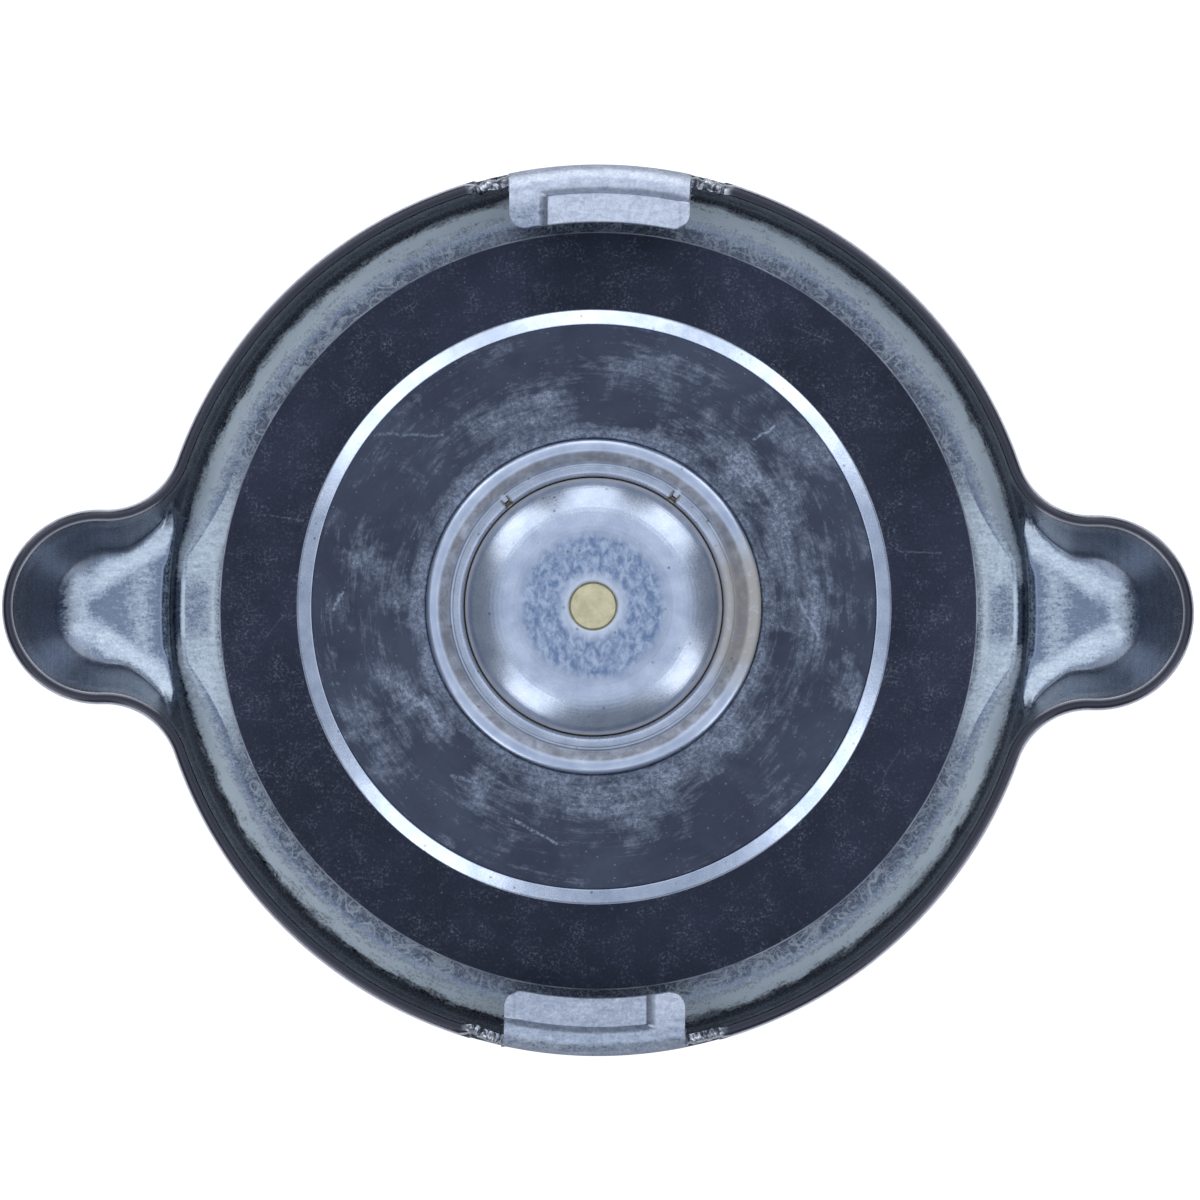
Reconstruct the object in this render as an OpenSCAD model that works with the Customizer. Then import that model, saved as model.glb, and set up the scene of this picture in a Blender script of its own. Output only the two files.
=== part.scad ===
// Bayonet radiator pressure cap, lying on its cover with the valves facing up.
// Millimetres. +Z leaves the underside along the valve axis, +X runs through the grip ears.

/* [Cover] */
// Diameter of the round body at the rim
body_d = 66.4; // [64:0.2:70]
// Distance across the tips of the two ears
ear_span = 88.6; // [85:0.2:94]
// Width of an ear
ear_w = 14.5; // [12:0.5:17]
// Radius that blends an ear into the round body
ear_blend_r = 5.5; // [4:0.5:7]
// Rise of an ear's floor from the inside of the top panel
ear_step_h = 2.6; // [2.2:0.1:3.4]
// Thickness of the cover's sheet
cover_t = 0.9; // [0.7:0.05:1.1]
// Height of the skirt from the top of the cap to the rim
skirt_h = 9; // [8.5:0.25:11]
// Inside radius of the bend from the top panel to the skirt
skirt_bend_r = 2.8; // [2:0.1:3.2]
// Inside radius of that bend where it meets an ear
ear_bend_r = 1; // [0.6:0.1:1.3]
// Radius of the rim's outer edge
rim_round_r = 0.5; // [0.3:0.05:0.6]
// Rise of the sunk boss in the middle of the top panel
boss_h = 1.3; // [1.1:0.1:1.8]
// Width of the flat middle of the boss
boss_d = 16; // [14:0.5:20]

/* [Bayonet tabs] */
// Width of a tab
tab_w = 13.4; // [10:0.2:16]
// Height of a tab's outer face above the rim
tab_rise = 0.5; // [0.2:0.1:1.2]
// Length of the raised lead-in end of a tab
tab_lead = 2.4; // [1.8:0.1:4]
// Drop of the cam pad below the lead-in end
pad_drop = 0.45; // [0.2:0.05:0.6]
// Gap between a tab's inner edge and the upper gasket's edge, seen from below
tab_gap = 0.4; // [0.2:0.1:1]
// Length of the relief cut in the rim beside a tab
relief_w = 2.6; // [1.5:0.1:4]
// Depth of the relief cut
relief_h = 1.6; // [1:0.1:2.4]

/* [Neck seal] */
// Gap between the gasket's edge and the flat panel's edge
gasket_gap = 1.1; // [0.6:0.1:1.6]
// Thickness of the upper gasket
gasket_t = 2.1; // [1.6:0.1:2.8]
// Thickness of the diaphragm spring
diaphragm_t = 0.35; // [0.25:0.05:0.5]
// Depth from the upper gasket's face to the pressure seal's face
reach = 20; // [19:0.25:24]

/* [Bell and pressure spring] */
// Outside diameter of the bell
bell_d = 34.6; // [33:0.2:37]
// Thickness of the bell's sheet
bell_t = 0.6; // [0.5:0.05:0.8]
// Number of windows in the bell's wall
window_count = 4; // [3:1:6]
// Width of a window
window_w = 9; // [6:0.5:11]
// Height of a window
window_h = 6; // [4:0.5:7]
// Wire of the pressure spring
spring_wire = 1.7; // [1.4:0.1:1.8]
// Turns of the pressure spring
spring_turns = 4.25; // [3.75:0.25:4.5]
// Shank diameter of the center rivet
rivet_d = 5.2; // [4.5:0.1:6]

/* [Pressure valve] */
// Diameter over the valve plate's lip
plate_d = 43.2; // [41:0.2:46]
// Thickness of the valve plate's sheet
plate_t = 0.6; // [0.5:0.05:0.8]
// Width of the lip's turned-out edge, seen from below
lip_w = 1.15; // [0.9:0.05:1.6]
// Depth of the lip's edge below the pressure seal's face
lip_drop = 0.75; // [0.4:0.05:1.1]
// Fall of the lip's outer edge
lip_flare = 0.3; // [0:0.05:0.4]
// Thickness of the pressure seal
seal_t = 2.6; // [2.2:0.1:3.2]
// Diameter of the guide cup's wall
cup_d = 26; // [25:0.2:27]
// Thickness of the guide cup's sheet
cup_t = 0.6; // [0.5:0.05:0.8]
// Lift of the pressure valve
pressure_travel = 4; // [2.5:0.25:4.5]
// Diameter of the seal retainer
retainer_d = 24.1; // [23:0.1:26]
// Rise of the retainer's bead around its rim
bead_rise = 0.5; // [0.3:0.05:0.6]
// Thickness of the seal retainer's sheet
retainer_t = 0.5; // [0.4:0.05:0.6]
// Diameter of the eyelet's tube
eyelet_d = 19.4; // [18:0.2:20]
// Thickness of the eyelet's sheet
eyelet_t = 0.35; // [0.3:0.05:0.5]
// Width of the eyelet's rolled edge over the retainer
roll_w = 0.45; // [0.3:0.05:0.55]

/* [Vacuum valve] */
// Gap around the vacuum valve in the eyelet
vacuum_gap = 0.2; // [0.15:0.05:0.4]
// Height of the vacuum valve's button
button_h = 4.4; // [4.2:0.1:5.2]
// Radius of the button's shoulder
button_shoulder_r = 3.9; // [3:0.1:4]
// Thickness of the button's sheet
button_t = 0.5; // [0.4:0.05:0.6]
// Thickness of the vacuum seal
vacuum_seal_t = 1; // [0.7:0.1:1.4]
// Diameter of the brass stem
stem_d = 3.3; // [2.8:0.1:3.8]
// Depth of the stem's end below the button's face
stem_recess = 0.25; // [0.1:0.05:0.4]
// Lift of the vacuum valve
vacuum_travel = 1.6; // [1:0.1:2]
// Wire of the vacuum spring
vacuum_wire = 0.6; // [0.4:0.05:0.7]
// Turns of the vacuum spring
vacuum_turns = 4; // [3:0.5:4.5]
// Length of the vacuum spring when the valve is shut
vacuum_spring_h = 5.4; // [4.8:0.1:6]

/* [Hidden] */

$fn = 96;
bend_steps = 6;
edge_steps = 4;
rim_steps = 2;
ear_steps = 8;
blend_steps = 6;
body_steps = 15;
coil_steps = 24;
wire_sides = 10;

// Clearances, from pieces that touch to pieces that move past each other
hair = 0.02;
seat_gap = 0.05;
slip = 0.06;
fit_gap = 0.1;
run_gap = 0.3;
stop_gap = 0.8;

// Bend radii at the middle of the sheet
tab_bend_r = 1;
pad_bend_r = 0.5;
bell_foot_bend_r = 0.9;
bell_lip_bend_r = 0.7;
cup_brim_bend_r = 0.6;
cup_crown_bend_r = 0.9;
plate_bend_r = 0.35;
retainer_bend_r = 0.3;
bead_bend_r = 0.4;
bead_crest_w = 0.5;
eyelet_foot_bend_r = 0.3;
eyelet_roll_bend_r = 0.25;
wave_bend_r = 2;

// Small features
tab_corner_r = 1.2;
tab_root_h = 2;
rivet_head_t = 1;
rivet_head_edge = 0.4;
clench_w = 2;
clench_t = 1.2;
clench_edge_r = 0.6;
wave_depth = 0.5;
gasket_edge_r = 0.3;
seal_edge_r = 0.15;
seal_clamp_depth = 0.35;
window_corner_r = 1.5;
stem_head_w = 2;
stem_head_t = 0.9;
stem_head_edge = 0.3;
stem_collar_w = 1;
stem_collar_t = 0.8;
split_w = 0.25;
split_angles = [54, 130];

// Radii from the rim inwards
port_share = 0.58;
body_r = body_d / 2;
wall_r = body_r - cover_t;
panel_r = wall_r - skirt_bend_r;
gasket_r = panel_r - gasket_gap;
tab_in_r = gasket_r + tab_gap;
diaphragm_r = gasket_r - run_gap;
ear_r = ear_w / 2;
ear_c = ear_span / 2 - ear_r;
plate_r = plate_d / 2;
seal_r = plate_r - lip_w - hair;
bell_r = bell_d / 2;
bell_in_r = bell_r - bell_t;
cup_r = cup_d / 2;
flange_r = bell_in_r - 2 * run_gap;
bell_mouth_r = cup_r + 2 * run_gap;
spring_r = (flange_r + bell_mouth_r) / 2 - run_gap;
retainer_r = retainer_d / 2;
eyelet_r = eyelet_d / 2;
eyelet_in_r = eyelet_r - eyelet_t;
button_r = eyelet_in_r - vacuum_gap;
port_r = button_r * port_share;
stem_r = stem_d / 2;
stem_head_r = stem_r + stem_head_w;
rivet_r = rivet_d / 2;
rivet_hole_r = rivet_r + slip;

// Heights from the cap's top, which lies at zero, up to the button
boss_z = cover_t + boss_h;
ear_z = cover_t + ear_step_h;
tab_z = skirt_h + tab_rise;
diaphragm_z = boss_z + diaphragm_t;
gasket_z = diaphragm_z + gasket_t;
bell_floor_z = diaphragm_z + bell_t;
seal_z = gasket_z + reach;
plate_z = seal_z - seal_t;
crown_z = plate_z - plate_t;
clamp_z = seal_z - seal_clamp_depth;
mouth_z = crown_z - pressure_travel - stop_gap;
flange_z = mouth_z - bell_t - seat_gap;
spring_top_z = flange_z - cup_t;
port_z = crown_z + eyelet_t;
button_z = port_z + vacuum_seal_t;
button_top_z = button_z + button_h;
stem_head_z = crown_z - cup_t - vacuum_spring_h;

// Plane geometry for bent sheet
function unit(v) = v / norm(v);
function left(v) = [-v[1], v[0]];
function turn(p, i) = cross(p[i] - p[i - 1], p[i + 1] - p[i]) > 0 ? 1 : -1;
function side_point(p, i, d) =
    i == 0 ? p[0] + d * left(unit(p[1] - p[0])) :
    i == len(p) - 1 ? p[i] + d * left(unit(p[i] - p[i - 1])) :
    let (a = left(unit(p[i] - p[i - 1])), b = left(unit(p[i + 1] - p[i])), m = unit(a + b))
    p[i] + m * d / (m * a);
function angle_of(v) = atan2(v[1], v[0]);
function short_way(a) = a > 180 ? a - 360 : a < -180 ? a + 360 : a;
function corner_arc(p, i, r) =
    let (
        a = unit(p[i - 1] - p[i]),
        b = unit(p[i + 1] - p[i]),
        half = acos(a * b) / 2,
        c = p[i] + unit(a + b) * r / sin(half),
        from = angle_of(p[i] + a * r / tan(half) - c),
        sweep = short_way(angle_of(p[i] + b * r / tan(half) - c) - from)
    )
    [for (k = [0 : bend_steps]) c + r * dir(from + sweep * k / bend_steps)];
function dir(a) = [cos(a), sin(a)];
function side_path(p, r, d) =
    let (q = [for (i = [0 : len(p) - 1]) side_point(p, i, d)], last = len(p) - 1)
    concat(
        [q[0]],
        [for (i = [1 : 1 : last - 1]) each corner_arc(q, i, max(hair, r[i - 1] - turn(p, i) * d))],
        [q[last]]
    );
function reversed(p) = [for (i = [len(p) - 1 : -1 : 0]) p[i]];
// Section of a sheet of thickness t along a middle line p with bend radii r
function sheet(p, r, t) = concat(side_path(p, r, t / 2), reversed(side_path(p, r, -t / 2)));
function oval(c, w, h, a0, a1, n) =
    [for (i = [0 : n]) let (d = dir(a0 + (a1 - a0) * i / n)) c + [w * d[0], h * d[1]]];
function arc(c, r, a0, a1, n) = oval(c, r, r, a0, a1, n);

module turned(points) {
    rotate_extrude() polygon(points);
}

// Closed skin through rings of equal length, joined end to end as a tube or as a torus
module skin(rings, closed) {
    n = len(rings[0]);
    m = len(rings);
    last = closed ? m - 1 : m - 2;
    walls = [
        for (i = [0 : last], j = [0 : n - 1])
        let (a = i * n, b = ((i + 1) % m) * n, k = (j + 1) % n)
        each [[a + j, b + j, b + k], [a + j, b + k, a + k]]
    ];
    ends = closed ? [] : [
        [for (j = [0 : n - 1]) j],
        [for (j = [n - 1 : -1 : 0]) (m - 1) * n + j]
    ];
    polyhedron([for (ring = rings) each ring], concat(walls, ends));
}

// Coil of round wire from seat to seat, with one closed turn at each end
module coil(r0, r1, wire, z0, z1, turns) {
    closed_pitch = wire + seat_gap;
    low = z0 + wire / 2;
    high = z1 - wire / 2;
    rise = high - low - 2 * closed_pitch;
    count = round(turns * coil_steps);
    skin([
        for (i = [0 : count])
        let (
            u = i / coil_steps,
            z = u < 1 ? low + closed_pitch * u :
                u > turns - 1 ? high - closed_pitch * (turns - u) :
                low + closed_pitch + rise * (u - 1) / (turns - 2),
            r = r0 + (r1 - r0) * i / count
        )
        [
            for (j = [0 : wire_sides - 1])
            let (w = wire / 2 * dir(360 * j / wire_sides), d = dir(360 * u) * (r + w[0]))
            [d[0], d[1], z + w[1]]
        ]
    ], false);
}

// Outline of the cover seen from below, as points with outward normals
blend_x = (pow(body_r + ear_blend_r, 2) - pow(ear_r + ear_blend_r, 2) + ear_c * ear_c) / (2 * ear_c);
blend_c = [blend_x, sqrt(pow(body_r + ear_blend_r, 2) - blend_x * blend_x)];
ear_end_a = angle_of(blend_c - [ear_c, 0]);
body_start_a = angle_of(blend_c);
quarter = concat(
    [for (i = [0 : ear_steps]) let (d = dir(ear_end_a * i / ear_steps)) [[ear_c, 0] + ear_r * d, d]],
    [
        for (i = [1 : blend_steps])
        let (d = dir(ear_end_a + 180 + (body_start_a - ear_end_a) * i / blend_steps))
        [blend_c + ear_blend_r * d, -d]
    ],
    [
        for (i = [1 : body_steps])
        let (d = dir(body_start_a + (90 - body_start_a) * i / body_steps))
        [body_r * d, d]
    ]
);
function flipped(p, x, y) = [for (q = p) [[q[0][0] * x, q[0][1] * y], [q[1][0] * x, q[1][1] * y]]];
function without_first(p) = [for (i = [1 : len(p) - 1]) p[i]];
function without_last(p) = [for (i = [0 : len(p) - 2]) p[i]];
outline = concat(
    quarter,
    without_first(reversed(flipped(quarter, -1, 1))),
    without_first(flipped(quarter, -1, -1)),
    without_last(without_first(reversed(flipped(quarter, 1, -1))))
);

// Shares of the outline's stand-out from the round body that shape an ear, and their limits
scoop_share = 0.65;
scoop_base = 1.6;
scoop_growth = 0.16;
scoop_bend_share = 0.3;
scoop_bend_max = 3.2;
bend_share = 0.6;
brow_share = 0.2;
brow_max = 1.4;
crook_share = 0.1;
crook_max = 0.65;
brow_aspect = 2;
function grown(share, limit, bulge) = max(hair, min(limit, share * bulge));

// Section of the cover at one point of the outline: the inside from the middle to the rim,
// then the outside back to the middle
function section(at) =
    let (
        p = at[0],
        n = at[1],
        bulge = max(0, norm(p) - body_r),
        scoop = grown(scoop_share, scoop_base + scoop_growth * bulge, bulge),
        scoop_bend = grown(scoop_bend_share, scoop_bend_max, bulge),
        brow = grown(brow_share, brow_max, bulge),
        crook = grown(crook_share, crook_max, bulge),
        brow_w = brow_aspect * brow - hair,
        crook_w = brow_aspect * crook - hair,
        bend = skirt_bend_r - min(skirt_bend_r - ear_bend_r, bend_share * bulge),
        foot_z = cover_t + bend,
        shelf_z = max(ear_z, foot_z + brow + hair),
        under_z = max(ear_z - cover_t, foot_z + crook + hair),
        back = scoop * (skirt_h - under_z) / (skirt_h - shelf_z),
        out = unit(p - (cover_t + scoop) * n),
        inner = concat(
            [[rivet_r / 2, boss_z], [boss_d / 2, boss_z], [boss_d / 2 + boss_h, cover_t]],
            arc([wall_r - bend, foot_z], bend, -90, 0, bend_steps),
            oval([wall_r + brow_w, shelf_z - brow], brow_w, brow, 180, 90, edge_steps)
        ),
        rim = concat(
            corner_arc([[ear_c, shelf_z], [cover_t + scoop, shelf_z], [cover_t, skirt_h]], 1, scoop_bend),
            [[cover_t, skirt_h]],
            arc([rim_round_r, skirt_h - rim_round_r], rim_round_r, 90, 180, rim_steps),
            corner_arc([[0, skirt_h], [back, under_z], [ear_c, under_z]], 1, scoop_bend)
        ),
        outer = concat(
            oval([body_r + crook_w, under_z - crook], crook_w, crook, 90, 180, rim_steps),
            arc([wall_r - bend, foot_z], bend + cover_t, 0, -90, bend_steps),
            [[boss_d / 2 + boss_h, 0], [boss_d / 2, boss_h], [rivet_r / 2, boss_h]]
        )
    )
    concat(
        [for (q = inner) [out[0] * q[0], out[1] * q[0], q[1]]],
        [for (q = rim) let (s = p - q[0] * n) [s[0], s[1], q[1]]],
        [for (q = outer) [out[0] * q[0], out[1] * q[0], q[1]]]
    );

// Bent tab on the +Y side, with a raised lead-in end and a sunk cam pad
tab_t = cover_t - fit_gap;
module tab() {
    leg_r = body_r - cover_t / 2;
    mid_z = tab_z - tab_t / 2;
    pad_r = body_r - 2 * cover_t + fit_gap;
    root_z = skirt_h - relief_h - tab_root_h;
    lead = [[leg_r, root_z], [leg_r, mid_z], [tab_in_r, mid_z]];
    pad = [
        [leg_r, root_z], [leg_r, mid_z], [pad_r, mid_z],
        [pad_r - pad_drop, mid_z - pad_drop], [tab_in_r, mid_z - pad_drop]
    ];
    intersection() {
        union() {
            tab_strip(lead, [tab_bend_r], -tab_w / 2, tab_lead + fit_gap);
            tab_strip(pad, [tab_bend_r, pad_bend_r, pad_bend_r], tab_lead - tab_w / 2, tab_w - tab_lead);
        }
        translate([0, 0, root_z - 1]) linear_extrude(tab_z) tab_plan();
    }
}

module tab_strip(line, bends, x0, width) {
    intersection() {
        turned(sheet(line, bends, tab_t));
        translate([x0, 0, 0]) cube([width, 2 * body_r, 2 * tab_z]);
    }
}

module tab_plan() {
    side = tab_w / 2 - tab_corner_r;
    corner_y = sqrt(tab_in_r * tab_in_r - side * side) + tab_corner_r;
    translate([-tab_w / 2, corner_y]) square([tab_w, body_r]);
    translate([-side, 0]) square([2 * side, body_r]);
    for (x = [-side, side]) translate([x, corner_y]) circle(tab_corner_r);
}

module cover() {
    color([0.66, 0.71, 0.78]) {
        difference() {
            skin([for (at = outline) section(at)], true);
            for (s = [0, 180]) rotate([0, 0, s])
                translate([-tab_w / 2 - relief_w, panel_r - ear_w, skirt_h - relief_h])
                cube([tab_w + 2 * relief_w, 2 * ear_w, skirt_h]);
            translate([0, 0, -1]) cylinder(r = rivet_hole_r, h = boss_z + 2);
        }
        for (s = [0, 180]) rotate([0, 0, s]) tab();
    }
}

module center_rivet() {
    head_r = boss_d / 2 - boss_h - run_gap;
    head_z = boss_h - rivet_head_t;
    clench_z = bell_floor_z + seat_gap;
    clench_r = rivet_r + clench_w;
    clench_top_z = clench_z + clench_t;
    color([0.72, 0.74, 0.76]) turned(concat(
        [[0, head_z], [head_r - rivet_head_edge, head_z], [head_r, head_z + rivet_head_edge]],
        [[head_r, boss_h], [rivet_r, boss_h], [rivet_r, clench_z], [clench_r, clench_z]],
        arc([clench_r - clench_edge_r, clench_top_z - clench_edge_r], clench_edge_r, 0, 90, edge_steps),
        [[0, clench_top_z]]
    ));
}

module diaphragm_spring() {
    mid_z = boss_z + diaphragm_t / 2;
    wave_r = (bell_r + diaphragm_r) / 2;
    wave_w = (diaphragm_r - bell_r) / 4;
    line = [
        [rivet_hole_r, mid_z], [wave_r - wave_w, mid_z], [wave_r, mid_z - wave_depth],
        [wave_r + wave_w, mid_z], [diaphragm_r, mid_z]
    ];
    color([0.74, 0.75, 0.76]) turned(sheet(line, [for (i = [1 : 3]) wave_bend_r], diaphragm_t));
}

module upper_gasket() {
    edge = gasket_edge_r;
    color([0.13, 0.15, 0.2]) turned(concat(
        [[bell_r + fit_gap, diaphragm_z], [gasket_r, diaphragm_z]],
        arc([gasket_r - edge, gasket_z - edge], edge, 0, 90, edge_steps),
        [[bell_r + fit_gap, gasket_z]]
    ));
}

module window() {
    corner = window_corner_r;
    for (x = [-1, 1], y = [-1, 1])
        translate([x * (window_w / 2 - corner), y * (window_h / 2 - corner)]) circle(corner);
    square([window_w - 2 * corner, window_h], center = true);
    square([window_w, window_h - 2 * corner], center = true);
}

module bell() {
    wall = bell_r - bell_t / 2;
    floor_z = bell_floor_z - bell_t / 2;
    lip_z = mouth_z - bell_t / 2;
    line = [[rivet_hole_r, floor_z], [wall, floor_z], [wall, lip_z], [bell_mouth_r, lip_z]];
    color([0.7, 0.74, 0.78]) difference() {
        turned(sheet(line, [bell_foot_bend_r, bell_lip_bend_r], bell_t));
        for (i = [0 : window_count - 1])
            rotate([0, 0, 360 * (i + 0.5) / window_count])
            translate([0, bell_r + 1, (bell_floor_z + flange_z) / 2])
            rotate([90, 0, 0])
            linear_extrude(bell_r / 2) window();
    }
}

module pressure_spring() {
    color([0.62, 0.64, 0.66])
        coil(spring_r, spring_r, spring_wire, bell_floor_z, spring_top_z, spring_turns);
}

module guide_cup() {
    wall = cup_r - cup_t / 2;
    brim_z = flange_z - cup_t / 2;
    top_z = crown_z - cup_t / 2;
    line = [[flange_r, brim_z], [wall, brim_z], [wall, top_z], [port_r, top_z]];
    color([0.72, 0.75, 0.79]) turned(sheet(line, [cup_brim_bend_r, cup_crown_bend_r], cup_t));
}

module valve_plate() {
    bed_z = plate_z - plate_t / 2;
    wall = plate_r - lip_w + plate_t / 2;
    lip_z = seal_z - lip_drop - plate_t / 2;
    tilt = atan2(lip_flare, plate_r - wall);
    lip_end = [plate_r - plate_t / 2 * sin(tilt), lip_z - lip_flare];
    line = [[eyelet_r + fit_gap, bed_z], [wall, bed_z], [wall, lip_z], lip_end];
    color([0.8, 0.83, 0.87]) turned(sheet(line, [plate_bend_r, plate_bend_r], plate_t));
}

module pressure_seal() {
    edge = seal_edge_r;
    clamp_r = retainer_r + fit_gap;
    color([0.2, 0.23, 0.3]) turned(concat(
        [[eyelet_r + fit_gap, plate_z], [seal_r - edge / 2, plate_z], [seal_r, plate_z + edge / 2]],
        arc([seal_r - edge, seal_z - edge], edge, 0, 90, edge_steps),
        [[clamp_r, seal_z], [clamp_r, clamp_z], [eyelet_r + fit_gap, clamp_z]]
    ));
}

module seal_retainer() {
    mid_z = clamp_z + retainer_t / 2;
    bead_r = retainer_r - retainer_t / 2;
    crest_z = mid_z + bead_rise;
    line = [
        [eyelet_r + fit_gap, mid_z], [eyelet_r + roll_w + 2 * fit_gap, mid_z],
        [bead_r - bead_crest_w, crest_z], [bead_r, crest_z], [bead_r, clamp_z]
    ];
    color([0.8, 0.83, 0.87])
        turned(sheet(line, [retainer_bend_r, retainer_bend_r, bead_bend_r], retainer_t));
}

module valve_eyelet() {
    wall = eyelet_r - eyelet_t / 2;
    bed_z = port_z - eyelet_t / 2;
    roll_z = clamp_z + retainer_t + eyelet_t / 2;
    line = [[port_r, bed_z], [wall, bed_z], [wall, roll_z], [eyelet_r + roll_w, roll_z]];
    color([0.76, 0.78, 0.8]) difference() {
        turned(sheet(line, [eyelet_foot_bend_r, eyelet_roll_bend_r], eyelet_t));
        for (a = split_angles) rotate([0, 0, a])
            translate([eyelet_in_r - eyelet_t, -split_w / 2, roll_z - eyelet_t])
            cube([roll_w + 3 * eyelet_t, split_w, 2 * eyelet_t]);
    }
}

module vacuum_seal() {
    color([0.14, 0.15, 0.18]) turned([
        [port_r + fit_gap, port_z], [eyelet_in_r - run_gap, port_z],
        [eyelet_in_r - run_gap, button_z], [port_r + fit_gap, button_z]
    ]);
}

module vacuum_valve() {
    wall = button_r - button_t / 2;
    top_z = button_top_z - button_t / 2;
    line = [[stem_r + fit_gap, top_z], [wall, top_z], [wall, button_z]];
    color([0.78, 0.82, 0.87]) turned(sheet(line, [button_shoulder_r - button_t / 2], button_t));
}

module vacuum_stem() {
    shoulder_z = button_top_z - button_t;
    collar_r = stem_r + stem_collar_w;
    collar_z = shoulder_z - stem_collar_t;
    head_z = stem_head_z - stem_head_t;
    color([0.76, 0.7, 0.48]) turned([
        [0, head_z], [stem_head_r - stem_head_edge, head_z], [stem_head_r, head_z + stem_head_edge],
        [stem_head_r, stem_head_z], [stem_r, stem_head_z], [stem_r, collar_z],
        [collar_r, collar_z], [collar_r, shoulder_z], [stem_r, shoulder_z],
        [stem_r, button_top_z - stem_recess], [0, button_top_z - stem_recess]
    ]);
}

module vacuum_spring() {
    color([0.7, 0.72, 0.74]) coil(
        stem_head_r - vacuum_wire, port_r + vacuum_wire,
        vacuum_wire, stem_head_z, crown_z - cup_t, vacuum_turns
    );
}

cover();
center_rivet();
diaphragm_spring();
upper_gasket();
bell();
pressure_spring();
guide_cup();
valve_plate();
pressure_seal();
seal_retainer();
valve_eyelet();
vacuum_seal();
vacuum_valve();
vacuum_stem();
vacuum_spring();
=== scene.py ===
import bpy
import bmesh
from math import acos, atan2, cos, hypot, pi, radians, sin, sqrt, tan
from mathutils import Matrix, Vector, noise


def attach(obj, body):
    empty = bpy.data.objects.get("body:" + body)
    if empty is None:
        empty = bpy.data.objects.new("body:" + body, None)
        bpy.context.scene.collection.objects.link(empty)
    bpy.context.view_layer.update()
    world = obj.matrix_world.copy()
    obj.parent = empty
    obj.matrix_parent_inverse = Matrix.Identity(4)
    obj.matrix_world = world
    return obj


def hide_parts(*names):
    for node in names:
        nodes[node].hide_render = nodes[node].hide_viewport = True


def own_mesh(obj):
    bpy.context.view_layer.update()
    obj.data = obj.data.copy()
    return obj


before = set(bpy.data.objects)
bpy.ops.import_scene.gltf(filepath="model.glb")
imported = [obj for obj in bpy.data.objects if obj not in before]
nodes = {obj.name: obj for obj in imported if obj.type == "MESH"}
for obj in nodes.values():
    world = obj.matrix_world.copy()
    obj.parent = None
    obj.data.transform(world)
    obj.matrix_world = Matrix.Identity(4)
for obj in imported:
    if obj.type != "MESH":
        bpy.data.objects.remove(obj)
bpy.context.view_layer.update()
mm = 0.001
weld = 1e-7  # metres within which two points are one
print("frame loaded:", len(nodes), "nodes")


# plane outlines, in millimetres, each corner as (radius from the axis, height, corner radius)
rounding = {"least": 0.02, "straight": 89, "legShare": 0.49, "supportRoom": 0.12, "supportOff": 0.04}


def unit(v):
    return v.normalized()


def leftOf(v):
    return Vector((-v.y, v.x))


def bentSheet(line, bends, thick, edge=0.08):
    # section of a sheet along its middle line, as a list of corners
    pts = [Vector(p) for p in line]
    sides = []
    for d in (thick / 2, -thick / 2):
        side = []
        for i, p in enumerate(pts):
            if i == 0 or i == len(pts) - 1:
                a = unit(pts[1] - pts[0]) if i == 0 else unit(pts[-1] - pts[-2])
                q = p + leftOf(a) * d
                side.append((q.x, q.y, edge))
                continue
            a, b = unit(p - pts[i - 1]), unit(pts[i + 1] - p)
            m = unit(leftOf(a) + leftOf(b))
            q = p + m * d / m.dot(leftOf(a))
            way = 1 if a.cross(b) > 0 else -1
            side.append((q.x, q.y, max(rounding["least"], bends[i - 1] - way * d)))
        sides.append(side)
    return sides[0] + sides[1][::-1]


def arcAround(centre, r, start, sweep, steps):
    angles = [start + sweep * k / steps for k in range(steps + 1)]
    return [centre + r * Vector((cos(a), sin(a))) for a in angles]


def roundedLoop(corners, steps=7, closed=True):
    # points of the outline with its corners rounded, and a support point beside each rounding
    n = len(corners)
    points = []
    for i, (x, y, r) in enumerate(corners):
        p = Vector((x, y))
        if not closed and i in (0, n - 1) or r <= 0:
            points.append(p)
            continue
        before, after = corners[i - 1], corners[(i + 1) % n]
        a = Vector(before[:2]) - p
        b = Vector(after[:2]) - p
        half = acos(max(-1, min(1, unit(a).dot(unit(b))))) / 2
        if half > radians(rounding["straight"]):
            points.append(p)
            continue
        reach = min(r / tan(half), rounding["legShare"] * a.length, rounding["legShare"] * b.length)
        r = reach * tan(half)
        c = p + unit(unit(a) + unit(b)) * r / sin(half)
        start, end = p + unit(a) * reach - c, p + unit(b) * reach - c
        a0 = atan2(start.y, start.x)
        sweep = atan2(end.y, end.x) - a0
        sweep = sweep - 2 * pi if sweep > pi else sweep + 2 * pi if sweep < -pi else sweep
        roomy = min(a.length, b.length) - 2 * reach > rounding["supportRoom"]
        support = reach + rounding["supportOff"]
        if roomy:
            points.append(p + unit(a) * support)
        points += arcAround(c, r, a0, sweep, steps)
        if roomy:
            points.append(p + unit(b) * support)
    return points


def meshObject(name, verts, faces):
    mesh = bpy.data.meshes.new(name)
    mesh.from_pydata(verts, [], faces)
    obj = bpy.data.objects.new(name, mesh)
    bpy.context.collection.objects.link(obj)
    return obj


def outwardSmooth(obj, merge=weld):
    bm = bmesh.new()
    bm.from_mesh(obj.data)
    bmesh.ops.remove_doubles(bm, verts=bm.verts, dist=merge)
    bmesh.ops.dissolve_degenerate(bm, edges=bm.edges, dist=merge)
    bmesh.ops.recalc_face_normals(bm, faces=bm.faces)
    for f in bm.faces:
        f.smooth = True
    bm.to_mesh(obj.data)
    bm.free()
    return obj


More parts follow.
